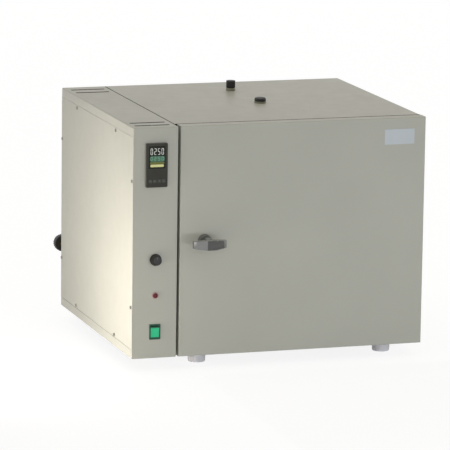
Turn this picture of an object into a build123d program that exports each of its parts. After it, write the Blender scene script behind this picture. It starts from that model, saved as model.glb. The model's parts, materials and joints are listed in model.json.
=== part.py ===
"""Bench-top vacuum oven: a welded steel vessel in an insulated cabinet, its door with a
quarter-turn latch, its top ports, and a control column on the left that carries the valve.

Millimetres, +Z up. The front of the oven looks along -Y and the control column is at -X.
The origin is on the bench, under the middle of the overall outline. Everything is placed
in cabinet coordinates: x from the left side, y from the front face and z from the
underside of the sheet metal.
"""

import math
import os

from build123d import *

os.makedirs("parts", exist_ok=True)

# --- Driving dimensions -------------------------------------------------------------------

# Outside of the cabinet, without feet, handle, knobs and hinges.
cabinet_width = 670.0
cabinet_depth = 580.0
cabinet_height = 509.0
column_width = 101.5
column_gap = 0.5  # between the column and the casing
sheet = 1.5
bend_radius = 2.5  # outside of a fold
panel_gap = 0.3  # between two panels that meet
casing_strip = 20.0  # fold of the top and the bottom over the sides
panel_lip = 15.0  # return behind a seam

# Feet.
foot_diameter = 42.0
foot_tip_diameter = 38.0
foot_height = 28.0
foot_inset_x = 68.0  # from the casing's sides
foot_inset_y = 38.0  # from its front and back
foot_stud_diameter = 6.0
foot_stud_length = 9.0

# Vessel.
chamber_width = 370.0
chamber_height = 370.0
chamber_depth = 400.0
chamber_corner = 20.0
vessel_wall = 4.0
flange_width = 16.0
flange_thickness = 8.0
flange_setback = 2.0  # behind the face of the front frame
frame_clearance = 3.0  # round the flange
support_width = 30.0
support_spread = 250.0
support_length = 340.0
support_setback = 30.0  # behind the flange
heater_thickness = 3.0
heater_margin = 35.0
insulation_thickness = 54.0  # behind the vessel
insulation_gap_top = 10.0  # to the top cover and to the base pan
insulation_gap_side = 36.5  # to the casing's sides
insulation_setback = 24.0  # behind the front frame
insulation_clearance = 1.0

# Door.
door_thickness = 30.0
door_seal_gap = 2.0
door_side_gap = 5.5
door_overhang = 1.0  # beyond the casing's right side
door_return = 15.0
inner_plate_thickness = 8.0
inner_plate_rim = 10.0
inner_plate_clearance = 0.5
inner_plate_proud = 1.0
seal_width = 10.0
seal_inset = 3.0  # from the vessel's opening
seal_groove = 4.0
seal_clearance = 0.3
badge_width = 69.5
badge_height = 34.0
badge_thickness = 0.8
badge_inset_x = 26.5
badge_inset_z = 24.5

# Handle and latch.
latch_setback = 19.0  # spindle, from the opening of the front frame
spindle_diameter = 8.0
running_clearance = 0.05
bush_diameter = 31.0
bush_tip_diameter = 27.0
bush_height = 10.0
hub_diameter = 24.0
hub_gap = 0.4
handle_length = 74.0
handle_reach = 55.0
handle_depth = 17.0
handle_end_depth = 9.0
handle_flat = 19.0
handle_shoulder = 31.0  # from the spindle to the start of the end facet
handle_end_recess = 13.0
handle_shoulder_recess = 8.0
handle_middle_height = 21.0
handle_end_height = 16.0
handle_seat = 9.0  # spindle inside the handle
cam_length = 32.0
cam_width = 12.0
cam_hub_diameter = 16.0
cam_thickness = 4.0
cam_clearance = 0.8  # behind the keeper
cam_nut_flats = 13.0
cam_nut_height = 5.0
keeper_clearance = 9.2  # from the fold of the front frame
keeper_height = 84.0
keeper_thickness = 3.0
keeper_slot_margin = 1.5

# Hinges, on the right-hand side.
knuckle_diameter = 8.0
knuckle_clearance = 0.3
hinge_pin_diameter = 4.0
hinge_height = 60.0
hinge_knuckle_length = 20.0
hinge_leaf = 2.0
hinge_leaf_width = 30.0
hinge_door_leaf_width = 19.0
hinge_inset = 62.0  # from the cabinet's corners
hinge_screw_spread = 40.0
hinge_screw_inset = 20.0  # from the axis
hinge_door_screw_inset = 11.5

# Fasteners.
screw_diameter = 4.0
screw_head_diameter = 8.0
screw_head_height = 2.2
screw_length = 7.0
screw_inset = 7.0
plate_screw_head = 7.0
plate_screw_sink = 1.2
casing_screw_inset = 48.0  # from the casing's front and back
rear_screw_inset = 60.0  # from the cabinet's top and bottom
door_screw_inset = 90.0  # from the door's four edges
cover_screw_front = 135.0
cover_screw_back = 131.0
cover_screw_low = 114.0
cover_screw_high = 117.0
cover_screw_inset = 6.5  # from the seams above and below the side cover

# Ports on top.
access_port = (375.0, 268.0)
vent_port = (365.0, 453.0)
port_ring_diameter = 26.0
port_ring_height = 4.0
port_tube_diameter = 16.0
port_bore = 11.0
port_cap_height = 8.0
port_cap_gap = 0.3
port_plug_diameter = 10.4
port_plug_length = 26.0
collar_diameter = 21.0
collar_height = 6.5
collar_shank_diameter = 14.0
grip_diameter = 3.0
vent_knob_grips = 12
vent_knob_height = 16.5
knob_gap = 0.4
vent_stem_diameter = 6.0
vent_stem_length = 16.0

# Vacuum line and its valve, on the back of the column.
valve_x = 22.0
valve_z = 132.0
valve_flange_diameter = 26.0
valve_flange_thickness = 4.0
valve_body_diameter = 18.0
valve_body_length = 44.0
valve_neck_diameter = 12.0
valve_neck_length = 18.0
valve_shank_diameter = 12.0
valve_shank_length = 16.0
valve_knob_diameter = 39.0
valve_knob_thickness = 18.0
valve_knob_grips = 16
valve_stem_diameter = 6.0
valve_stem_length = 20.0
spigot_diameter = 10.0
spigot_bore = 6.0
spigot_length = 26.0
spigot_setback = 22.0  # behind the column's back
spigot_collar_diameter = 14.0
spigot_collar_length = 3.0  # below the valve's body
pipe_diameter = 8.0
pipe_bore = 6.0
pipe_bend = 20.0
pipe_port_x = 250.0
pipe_run_gap = 35.0  # behind the vessel
vent_bend = 13.0
vent_entry_z = 372.0

# Shelves and their rails.
rail_sheet = 1.5
rail_width = 12.0
rail_heights = (60.0, 140.0, 220.0, 300.0)
rail_setback = 14.0
shelf_levels = (60.0, 220.0)
shelf_clearance = 2.0
shelf_sheet = 1.5
shelf_lip = 11.0
shelf_setback = 8.0
slot_length = 44.0
slot_width = 9.0
slot_pitch_x = 62.0
slot_pitch_y = 30.0
slot_columns = 5
slot_rows = 11
probe_diameter = 5.0
probe_reach = 70.0
probe_x = 520.0
probe_z = 330.0
probe_gland_diameter = 14.0
probe_gland_length = 12.0

# Control column.
panel_x = 52.2
controller_z = 426.5
controller_width = 48.0
controller_height = 96.0
controller_bezel_depth = 6.0
controller_bezel_corner = 2.0
controller_case_width = 44.0
controller_case_height = 91.0
controller_case_depth = 60.0
controller_wall = 1.6
board_thickness = 1.6
board_setback = 1.0
window_width = 38.0
window_height = 50.0
window_inset = 5.0
window_thickness = 2.0
key_count = 4
key_width = 7.6
key_height = 7.0
key_pitch = 9.8
key_gap = 0.25
key_proud = 1.0
key_length = 6.0
key_rise = 14.0  # above the lower edge of the bezel
limiter_z = 218.5
limiter_knob_diameter = 26.0
limiter_knob_tip = 21.0
limiter_knob_height = 15.0
limiter_skirt_height = 3.4
limiter_bush_diameter = 10.0
limiter_stem_diameter = 6.0
limiter_stem_length = 12.0
limiter_body = (36.0, 24.0, 36.0)
lamp_z = 139.3
lamp_bezel_diameter = 15.0
lamp_bezel_height = 2.5
lamp_lens_diameter = 11.0
lamp_lens_height = 4.5
lamp_barrel_diameter = 12.0
lamp_barrel_length = 26.0
switch_z = 58.9
switch_width = 25.0
switch_height = 34.0
switch_bezel = 2.2
switch_body = (21.6, 24.0, 30.0)
switch_opening = (19.0, 27.4)
switch_cavity = 15.0
rocker_width = 18.4
rocker_height = 25.0
rocker_face_rise = 2.0
rocker_root = 16.0
rocker_pivot_depth = 4.0
rocker_tilt = 7.0  # degrees each way from the middle
trunnion_diameter = 2.4
trunnion_reach = 0.9  # beyond each side of the rocker
relay_body = (26.0, 58.0, 45.0)
heatsink_size = (24.0, 80.0, 80.0)
heatsink_base = 4.0
heatsink_fin = 2.0
heatsink_fins = 7
relay_y = 290.0
relay_z = 300.0
terminal_size = (14.0, 90.0, 22.0)
terminal_pitch = 14.0
terminal_screws = 6
terminal_y = 420.0
terminal_z = 70.0
inlet_z = 60.0
inlet_flange = (48.0, 28.0)
inlet_flange_thickness = 3.0
inlet_body = (27.0, 20.0)
inlet_body_depth = 22.0
inlet_socket = (22.0, 14.0)
inlet_socket_depth = 16.0
inlet_blade = (2.0, 4.0)
inlet_blade_length = 14.0
inlet_blade_pitch = 7.0
cutout_clearance = 0.2  # round what passes through the column's sheet
vent_slot_width = 6.0
vent_slot_left = 12.0
vent_slot_right = 14.5  # from the column's right side
vent_slot_bridge = 4.0
vent_split_front = 27.0  # rows from the column's front and back
vent_split_back = 41.0
vent_plain_front = 63.0
vent_plain_back = 82.0

# --- Datums -------------------------------------------------------------------------------

casing_left = column_width + column_gap
casing_x = (casing_left + cabinet_width) / 2  # middle of the casing, vessel and flange
middle_z = cabinet_height / 2
door_left = column_width + door_side_gap
door_right = cabinet_width + door_overhang
door_x = (door_left + door_right) / 2
casing_front = door_thickness + door_seal_gap
frame_back = casing_front + sheet
flange_front = casing_front + flange_setback
vessel_back = flange_front + chamber_depth + vessel_wall
vessel_width = chamber_width + 2 * vessel_wall
vessel_height = chamber_height + 2 * vessel_wall
vessel_top = middle_z + vessel_height / 2
vessel_floor = middle_z - vessel_height / 2
chamber_left = casing_x - chamber_width / 2
chamber_floor = middle_z - chamber_height / 2
pipe_run_y = vessel_back + pipe_run_gap
opening_width = chamber_width + 2 * (flange_width + frame_clearance)
opening_height = chamber_height + 2 * (flange_width + frame_clearance)
opening_left = casing_x - opening_width / 2
latch_x = opening_left - latch_setback
keeper_back = frame_back + keeper_thickness
cam_front = keeper_back + cam_clearance
cam_back = cam_front + cam_thickness
hinge_x = door_right + knuckle_clearance + knuckle_diameter / 2
hinge_y = door_thickness + door_seal_gap / 2
hinge_reach = knuckle_clearance + knuckle_diameter
lip_x = sheet + panel_gap
screw_hole = screw_diameter + 2 * running_clearance
casing_screw_y = (
    casing_front + casing_screw_inset,
    (casing_front + cabinet_depth) / 2,
    cabinet_depth - casing_screw_inset,
)
rear_screw_z = (rear_screw_inset, middle_z, cabinet_height - rear_screw_inset)
door_screw_x = (door_left + door_screw_inset, door_x, door_right - door_screw_inset)
door_screw_z = (door_screw_inset, middle_z, cabinet_height - door_screw_inset)
cover_screw_y = (cover_screw_front, cabinet_depth - cover_screw_back)
cover_screw_z = (cover_screw_low, cabinet_height - cover_screw_high)
vent_slot_span = (vent_slot_left, column_width - vent_slot_right)
vent_split_rows = (vent_split_front, cabinet_depth - vent_split_back)
vent_plain_rows = (vent_plain_front, cabinet_depth - vent_plain_back)
valve_end = cabinet_depth + valve_body_length + valve_neck_length
valve_reach = valve_body_length + valve_neck_length + knob_gap + valve_knob_thickness
origin_x = -(door_right + hinge_reach - screw_head_height) / 2
origin_y = (handle_reach - cabinet_depth - valve_reach) / 2
origin_z = foot_height


def level(height):
    """Horizontal plane at a cabinet height; local x and y are the cabinet's."""
    return Plane(origin=(origin_x, origin_y, origin_z + height), z_dir=(0, 0, 1))


def front(depth):
    """Plane that faces the front; local x is the cabinet's x and local y its z."""
    return Plane(origin=(origin_x, origin_y + depth, origin_z), x_dir=(1, 0, 0), z_dir=(0, -1, 0))


def side(distance):
    """Plane that faces right; local x is the cabinet's y and local y its z."""
    return Plane(origin=(origin_x + distance, origin_y, origin_z), x_dir=(0, 1, 0), z_dir=(1, 0, 0))


def block(xs, ys, zs, mode=Mode.ADD):
    """Rectangular block between pairs of cabinet coordinates."""
    with BuildSketch(level(zs[0])) as outline:
        with Locations(((xs[0] + xs[1]) / 2, (ys[0] + ys[1]) / 2)):
            Rectangle(xs[1] - xs[0], ys[1] - ys[0])
    extrude(outline.sketch, amount=zs[1] - zs[0], mode=mode)


def plate(plane, centre, size, corner, amount, mode=Mode.ADD):
    """Plate or pocket with round corners on a plane."""
    with BuildSketch(plane) as outline:
        with Locations(centre):
            RectangleRounded(size[0], size[1], corner)
    extrude(outline.sketch, amount=amount, mode=mode)


def discs(plane, centres, diameter, amount, mode=Mode.ADD, taper=0.0):
    """Round bars, bosses or holes on a plane."""
    with BuildSketch(plane) as outline:
        with Locations(*centres):
            Circle(diameter / 2)
    extrude(outline.sketch, amount=amount, mode=mode, taper=taper)


def around(centre, size):
    """Pair of coordinates at equal distances from a centre."""
    return (centre - size / 2, centre + size / 2)


def save(piece, label):
    """Name a finished piece and write it as its own STEP file."""
    piece.part.label = label
    export_step(piece.part, f"parts/{label}.step")


def pan_screws(plane, places, clamp=0.0):
    """Pan-head screws whose heads sit on a plane and whose shanks go behind it."""
    discs(plane, places, screw_head_diameter, screw_head_height, taper=20.0)
    discs(plane, places, screw_diameter, -screw_length - clamp)


# --- Casing: folded panels round the vessel -----------------------------------------------

for label, lip_z, strip_z in (
    ("top_cover", cabinet_height - sheet, cabinet_height - casing_strip),
    ("base_pan", 0.0, casing_strip),
):
    with BuildPart() as cover:
        cover_z = sorted((strip_z, cabinet_height if lip_z else 0.0))
        block((casing_left, cabinet_width), (casing_front, cabinet_depth), cover_z)
        outer_edges = cover.edges().filter_by(Axis.Z, reverse=True).group_by(Axis.Z)
        fillet(outer_edges[-1 if lip_z else 0], bend_radius)
        inner_z = (strip_z - 1, lip_z) if lip_z else (sheet, strip_z + 1)
        block(
            (casing_left + sheet, cabinet_width - sheet),
            (casing_front - 1, cabinet_depth - sheet),
            inner_z,
            Mode.SUBTRACT,
        )
        strip_middle = (strip_z + cabinet_height) / 2 if lip_z else strip_z / 2
        seats = [(y, strip_middle) for y in casing_screw_y]
        discs(side(cabinet_width + 1), seats, screw_hole, -sheet - 2, Mode.SUBTRACT)
        if lip_z:
            discs(level(lip_z - 1), [access_port], port_tube_diameter + 1, 9, Mode.SUBTRACT)
            discs(level(lip_z - 1), [vent_port], collar_shank_diameter + 1, 9, Mode.SUBTRACT)
        else:
            foot_places = [
                (x, y)
                for x in (casing_left + foot_inset_x, cabinet_width - foot_inset_x)
                for y in (casing_front + foot_inset_y, cabinet_depth - foot_inset_y)
            ]
            stud_hole = foot_stud_diameter + 2 * running_clearance
            discs(level(-1), foot_places, stud_hole, sheet + 2, Mode.SUBTRACT)
    save(cover, label)

for label, skin, inward in (
    ("left_panel", casing_left, 1),
    ("right_panel", cabinet_width, -1),
):
    with BuildPart() as panel:
        panel_z = (casing_strip + panel_gap, cabinet_height - casing_strip - panel_gap)
        block(sorted((skin, skin + inward * sheet)), (casing_front, cabinet_depth), panel_z)
        fillet(panel.faces().filter_by(Axis.X).sort_by(Axis.X)[max(0, -inward)].edges(), 0.6)
        lip_start = skin + inward * (sheet + 0.1)
        lip_xs = sorted((lip_start, lip_start + inward * sheet))
        lip_ys = (casing_front + panel_lip + 3, cabinet_depth - 2 * sheet)
        for edge, away in ((panel_z[0], 1), (panel_z[1], -1)):
            block(lip_xs, lip_ys, sorted((edge - away * panel_lip, edge + away * panel_lip)))
            block(
                sorted((skin + inward * sheet / 2, lip_xs[1] if inward > 0 else lip_xs[0])),
                lip_ys,
                sorted((edge, edge + away * panel_lip)),
            )
        block(
            sorted((skin, skin + inward * (sheet + panel_lip))),
            (cabinet_depth - 2 * sheet, cabinet_depth - sheet),
            panel_z,
        )
        block(
            sorted((skin - inward, skin + inward * (sheet + panel_lip) + inward)),
            (cabinet_depth - sheet, cabinet_depth + 1),
            panel_z,
            Mode.SUBTRACT,
        )
        if inward < 0:
            for seam in (casing_strip / 2, cabinet_height - casing_strip / 2):
                seats = [(y, seam) for y in casing_screw_y]
                discs(side(skin), seats, screw_hole, -10, Mode.SUBTRACT)
            for z in (hinge_inset, cabinet_height - hinge_inset):
                seats = [(hinge_y + hinge_screw_inset, zz) for zz in around(z, hinge_screw_spread)]
                discs(side(skin + 1), seats, screw_hole, -10, Mode.SUBTRACT)
        else:
            hole = pipe_diameter + 2
            discs(side(skin - 1), [(pipe_run_y, valve_z)], hole, 10, Mode.SUBTRACT)
        return_x = skin + inward * (sheet + panel_lip / 2)
        seats = [(return_x, z) for z in rear_screw_z]
        discs(front(cabinet_depth), seats, screw_hole, 10, Mode.SUBTRACT)
    save(panel, label)

rear_seats = [
    (x, z)
    for x in (casing_left + sheet + panel_lip / 2, cabinet_width - sheet - panel_lip / 2)
    for z in rear_screw_z
]
with BuildPart() as rear_cover:
    block(
        (casing_left, cabinet_width),
        (cabinet_depth - sheet, cabinet_depth),
        (casing_strip + panel_gap, cabinet_height - casing_strip - panel_gap),
    )
    chamfer(rear_cover.faces().sort_by(Axis.Y)[-1].edges(), 0.6)
    discs(front(cabinet_depth + 1), rear_seats, screw_hole, 5, Mode.SUBTRACT)
save(rear_cover, "rear_cover")

keeper_z = around(middle_z, keeper_height)
slot_width_x = cam_hub_diameter + 2 * keeper_slot_margin
slot_z = (
    middle_z - cam_length - keeper_slot_margin,
    middle_z + cam_hub_diameter / 2 + keeper_slot_margin,
)
flange_size = (chamber_width + 2 * flange_width, chamber_height + 2 * flange_width)
flange_corner = chamber_corner + flange_width
frame_xs = (casing_left + sheet + panel_gap, cabinet_width - sheet - panel_gap)
frame_zs = (sheet + panel_gap, cabinet_height - sheet - panel_gap)
with BuildPart() as front_frame:
    block(frame_xs, (casing_front, casing_front + panel_lip), frame_zs)
    block(
        (frame_xs[0] + sheet, frame_xs[1] - sheet),
        (frame_back, casing_front + panel_lip + 1),
        (frame_zs[0] + sheet, frame_zs[1] - sheet),
        Mode.SUBTRACT,
    )
    plate(
        front(frame_back + 1),
        (casing_x, middle_z),
        (opening_width, opening_height),
        flange_corner + frame_clearance,
        5,
        Mode.SUBTRACT,
    )
    block(
        around(latch_x, slot_width_x + 2 * sheet),
        (casing_front - 1, frame_back + 1),
        (slot_z[0] - sheet, slot_z[1] + sheet),
        Mode.SUBTRACT,
    )
save(front_frame, "front_frame")

with BuildPart() as latch_keeper:
    keeper_xs = (frame_xs[0] + sheet + keeper_clearance, opening_left - sheet)
    block(keeper_xs, (frame_back, keeper_back), keeper_z)
    block(
        around(latch_x, slot_width_x),
        (frame_back - 1, keeper_back + 1),
        slot_z,
        Mode.SUBTRACT,
    )
save(latch_keeper, "latch_keeper")

with BuildPart() as feet:
    taper = math.degrees(math.atan2((foot_diameter - foot_tip_diameter) / 2, foot_height))
    discs(level(0), foot_places, foot_diameter, -foot_height, taper=taper)
    chamfer(feet.faces().group_by(Axis.Z)[0].edges(), 1.5)
    discs(level(0), foot_places, foot_stud_diameter, foot_stud_length)
save(feet, "feet")

# --- Vessel, heating and insulation -------------------------------------------------------

with BuildPart() as chamber_vessel:
    plate(
        front(vessel_back),
        (casing_x, middle_z),
        (vessel_width, vessel_height),
        chamber_corner + vessel_wall,
        chamber_depth + vessel_wall,
    )
    plate(
        front(flange_front + flange_thickness),
        (casing_x, middle_z),
        flange_size,
        flange_corner,
        flange_thickness,
    )
    plate(
        front(vessel_back - vessel_wall),
        (casing_x, middle_z),
        (chamber_width, chamber_height),
        chamber_corner,
        chamber_depth + 1,
        Mode.SUBTRACT,
    )
    neck_hole = port_tube_diameter + 2 * running_clearance
    discs(level(vessel_top + 1), [access_port], neck_hole, -vessel_wall - 2, Mode.SUBTRACT)
    pipe_hole = pipe_diameter + 2 * running_clearance
    pipe_seats = [(pipe_port_x, valve_z), (vent_port[0], vent_entry_z)]
    discs(front(vessel_back + 1), pipe_seats, pipe_hole, vessel_wall + 2, Mode.SUBTRACT)
    probe_hole = probe_diameter + 2 * running_clearance
    probe_seat = [(probe_x, probe_z)]
    discs(front(vessel_back + 1), probe_seat, probe_hole, vessel_wall + 2, Mode.SUBTRACT)
save(chamber_vessel, "chamber_vessel")

support_ys = (
    flange_front + flange_thickness + support_setback,
    flange_front + flange_thickness + support_setback + support_length,
)
with BuildPart() as vessel_supports:
    for x in around(casing_x, support_spread):
        block(around(x, support_width), support_ys, (sheet, vessel_floor))
        block(
            around(x, support_width - 2 * sheet),
            (support_ys[0] - 1, support_ys[1] + 1),
            (sheet - 1, vessel_floor - sheet),
            Mode.SUBTRACT,
        )
save(vessel_supports, "vessel_supports")

heater_ys = (flange_front + flange_thickness + heater_margin, vessel_back - heater_margin)
with BuildPart() as side_heaters:
    for side_x, outward in (
        (casing_x - vessel_width / 2, -1),
        (casing_x + vessel_width / 2, 1),
    ):
        block(
            sorted((side_x, side_x + outward * heater_thickness)),
            heater_ys,
            around(middle_z, vessel_height - 2 * heater_margin),
        )
save(side_heaters, "side_heaters")

insulation_front = frame_back + insulation_setback
with BuildPart() as insulation:
    block(
        (
            casing_left + sheet + insulation_gap_side,
            cabinet_width - sheet - insulation_gap_side,
        ),
        (insulation_front, vessel_back + insulation_thickness),
        (sheet + insulation_gap_top, cabinet_height - sheet - insulation_gap_top),
    )
    block(
        around(casing_x, vessel_width + 2 * heater_thickness),
        (insulation_front - 1, vessel_back),
        around(middle_z, vessel_height),
        Mode.SUBTRACT,
    )
    for x in around(casing_x, support_spread):
        block(
            around(x, support_width + 2 * insulation_clearance),
            (support_ys[0] - insulation_clearance, support_ys[1] + insulation_clearance),
            (0, vessel_floor + 1),
            Mode.SUBTRACT,
        )
    duct = pipe_diameter + 2 * insulation_clearance
    neck_duct = port_tube_diameter + 2 * insulation_clearance
    neck_duct_run = cabinet_height - vessel_top
    discs(level(vessel_top - 1), [access_port], neck_duct, neck_duct_run, Mode.SUBTRACT)
    block(
        around(pipe_port_x, duct),
        (vessel_back - 1, pipe_run_y + duct / 2),
        around(valve_z, duct),
        Mode.SUBTRACT,
    )
    block(
        (casing_left, pipe_port_x + duct / 2),
        around(pipe_run_y, duct),
        around(valve_z, duct),
        Mode.SUBTRACT,
    )
    block(
        around(vent_port[0], duct),
        (vessel_back - 1, vent_port[1] + duct / 2),
        (vent_entry_z - duct / 2, cabinet_height),
        Mode.SUBTRACT,
    )
    block(
        (pipe_port_x - pipe_bend, pipe_port_x + duct / 2),
        (pipe_run_y - pipe_bend, pipe_run_y + duct / 2),
        around(valve_z, duct),
        Mode.SUBTRACT,
    )
    shank_duct = collar_shank_diameter + 2 * insulation_clearance
    shank_low = cabinet_height - vent_stem_length - sheet - 4 - insulation_clearance
    discs(level(shank_low), [vent_port], shank_duct, cabinet_height - shank_low, Mode.SUBTRACT)
    gland_duct = probe_gland_diameter + 2 * insulation_clearance
    gland_duct_run = cabinet_depth - vessel_back + 2
    discs(front(cabinet_depth), probe_seat, gland_duct, gland_duct_run, Mode.SUBTRACT)
save(insulation, "insulation")

rail_ys = (flange_front + rail_setback, vessel_back - vessel_wall - rail_setback)
with BuildPart() as shelf_rails:
    for wall_x, inward in ((chamber_left, 1), (chamber_left + chamber_width, -1)):
        for height in rail_heights:
            rail_z = chamber_floor + height
            block(
                sorted((wall_x, wall_x + inward * rail_width)),
                rail_ys,
                (rail_z - rail_sheet, rail_z),
            )
            block(
                sorted((wall_x, wall_x + inward * rail_sheet)),
                rail_ys,
                (rail_z - rail_width, rail_z),
            )
save(shelf_rails, "shelf_rails")

shelf_ys = (flange_front + shelf_setback, vessel_back - vessel_wall - shelf_setback)
for label, height in zip(("shelf_lower", "shelf_upper"), shelf_levels):
    with BuildPart() as shelf:
        shelf_z = chamber_floor + height
        shelf_xs = around(casing_x, chamber_width - 2 * shelf_clearance)
        lip_xs = around(casing_x, chamber_width - 2 * shelf_clearance - 2 * rail_width)
        block(shelf_xs, shelf_ys, (shelf_z, shelf_z + shelf_sheet))
        block(lip_xs, (shelf_ys[0], shelf_ys[0] + shelf_sheet), (shelf_z - shelf_lip, shelf_z))
        block(
            lip_xs,
            (shelf_ys[1] - shelf_sheet, shelf_ys[1]),
            (shelf_z, shelf_z + shelf_lip),
        )
        with BuildSketch(level(shelf_z - 1)) as slots:
            with Locations((casing_x, (shelf_ys[0] + shelf_ys[1]) / 2)):
                with GridLocations(slot_pitch_x, slot_pitch_y, slot_columns, slot_rows):
                    Rectangle(slot_length, slot_width)
        extrude(slots.sketch, amount=shelf_sheet + 2, mode=Mode.SUBTRACT)
    save(shelf, label)

with BuildPart() as temperature_probe:
    probe_front = front(vessel_back - vessel_wall - probe_reach)
    probe_run = probe_reach + vessel_wall + probe_gland_length
    discs(probe_front, probe_seat, probe_diameter, -probe_run)
    chamfer(temperature_probe.faces().sort_by(Axis.Y)[0].edges(), 1.0)
    discs(front(vessel_back), probe_seat, probe_gland_diameter, -probe_gland_length)
save(temperature_probe, "temperature_probe")

# --- Ports on top -------------------------------------------------------------------------

with BuildPart() as port_neck:
    neck_bottom = vessel_top - vessel_wall
    neck_run = cabinet_height - neck_bottom
    discs(level(neck_bottom), [access_port], port_tube_diameter, neck_run)
    discs(level(cabinet_height), [access_port], port_ring_diameter, port_ring_height)
    chamfer(port_neck.faces().sort_by(Axis.Z)[-1].edges(), 0.6)
    neck_bore_run = neck_run + port_ring_height + 2
    discs(level(neck_bottom - 1), [access_port], port_bore, neck_bore_run, Mode.SUBTRACT)
save(port_neck, "port_neck")

with BuildPart() as port_cap:
    cap_seat = cabinet_height + port_ring_height + port_cap_gap
    discs(level(cap_seat), [access_port], port_ring_diameter, port_cap_height)
    chamfer(port_cap.faces().sort_by(Axis.Z)[-1].edges(), 1.2)
    discs(level(cap_seat), [access_port], port_plug_diameter, -port_plug_length)
    chamfer(port_cap.faces().sort_by(Axis.Z)[0].edges(), 1.0)
save(port_cap, "port_cap")

with BuildPart() as vent_valve_collar:
    discs(level(cabinet_height), [vent_port], collar_diameter, collar_height)
    chamfer(vent_valve_collar.faces().sort_by(Axis.Z)[-1].edges(), 0.8)
    shank_run = vent_stem_length + sheet + 4
    discs(level(cabinet_height), [vent_port], collar_shank_diameter, -shank_run)
    stem_bore = vent_stem_diameter + 2 * running_clearance
    stem_run = vent_stem_length + 1
    discs(level(cabinet_height + collar_height), [vent_port], stem_bore, -stem_run, Mode.SUBTRACT)
save(vent_valve_collar, "vent_valve_collar")

with BuildPart() as vent_knob:
    knob_seat = cabinet_height + collar_height + knob_gap
    discs(level(knob_seat), [vent_port], collar_diameter, vent_knob_height)
    chamfer(vent_knob.faces().sort_by(Axis.Z)[-1].edges(), 1.0)
    with BuildSketch(level(knob_seat - 1)) as grips:
        with Locations(vent_port):
            with PolarLocations(collar_diameter / 2 + 0.6, vent_knob_grips):
                Circle(grip_diameter / 2)
    extrude(grips.sketch, amount=vent_knob_height + 2, mode=Mode.SUBTRACT)
    discs(level(knob_seat), [vent_port], vent_stem_diameter, -vent_stem_length)
save(vent_knob, "vent_knob")


def tube(name, points, radius):
    """Bent tube through cabinet points, its ends square to its first and last runs."""
    route = [(origin_x + x, origin_y + y, origin_z + z) for x, y, z in points]
    with BuildPart() as bent:
        with BuildLine() as run:
            FilletPolyline(*route, radius=radius)
        start = run.line @ 0
        with BuildSketch(Plane(origin=start, z_dir=run.line % 0)) as section:
            Circle(pipe_diameter / 2)
            Circle(pipe_bore / 2, mode=Mode.SUBTRACT)
        sweep(section.sketch, path=run.line)
    save(bent, name)


tube(
    "vent_pipe",
    (
        (vent_port[0], vent_port[1], cabinet_height - shank_run),
        (vent_port[0], vent_port[1], vent_entry_z),
        (vent_port[0], vessel_back - vessel_wall, vent_entry_z),
    ),
    vent_bend,
)
tube(
    "vacuum_line",
    (
        (pipe_port_x, vessel_back - vessel_wall, valve_z),
        (pipe_port_x, pipe_run_y, valve_z),
        (valve_x, pipe_run_y, valve_z),
        (valve_x, cabinet_depth - valve_shank_length, valve_z),
    ),
    pipe_bend,
)

# --- Vacuum valve on the back of the column -----------------------------------------------

valve_seat = [(valve_x, valve_z)]
spigot_y = cabinet_depth + spigot_setback
with BuildPart() as vacuum_valve:
    body_end = cabinet_depth + valve_body_length
    discs(front(cabinet_depth), valve_seat, valve_flange_diameter, -valve_flange_thickness)
    discs(front(cabinet_depth), valve_seat, valve_body_diameter, -valve_body_length)
    chamfer(vacuum_valve.faces().sort_by(Axis.Y)[-1].edges(), 1.5)
    discs(front(body_end), valve_seat, valve_neck_diameter, -valve_neck_length)
    discs(front(cabinet_depth), valve_seat, valve_shank_diameter, valve_shank_length)
    spigot_top = level(valve_z - valve_body_diameter / 2 + 1)
    spigot_seat = [(valve_x, spigot_y)]
    discs(spigot_top, spigot_seat, spigot_collar_diameter, -spigot_collar_length - 1)
    discs(spigot_top, spigot_seat, spigot_diameter, -spigot_length - 1)
    chamfer(vacuum_valve.faces().sort_by(Axis.Z)[0].edges(), 0.6)
    spigot_bottom = level(valve_z - valve_body_diameter / 2 - spigot_length)
    discs(spigot_bottom, spigot_seat, spigot_bore, spigot_length, Mode.SUBTRACT)
    stem_bore = valve_stem_diameter + 2 * running_clearance
    discs(front(valve_end), valve_seat, stem_bore, valve_stem_length + 1, Mode.SUBTRACT)
save(vacuum_valve, "vacuum_valve")

with BuildPart() as vacuum_valve_knob:
    discs(front(valve_end + knob_gap), valve_seat, valve_knob_diameter, -valve_knob_thickness)
    chamfer(vacuum_valve_knob.edges(), 1.5)
    with BuildSketch(front(valve_end)) as grips:
        with Locations(*valve_seat):
            with PolarLocations(valve_knob_diameter / 2 + 0.8, valve_knob_grips):
                Circle(grip_diameter * 0.7)
    extrude(grips.sketch, amount=-valve_knob_thickness - 2, mode=Mode.SUBTRACT)
    discs(front(valve_end + knob_gap), valve_seat, valve_stem_diameter, valve_stem_length)
save(vacuum_valve_knob, "vacuum_valve_knob")

# --- Control column -----------------------------------------------------------------------

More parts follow.
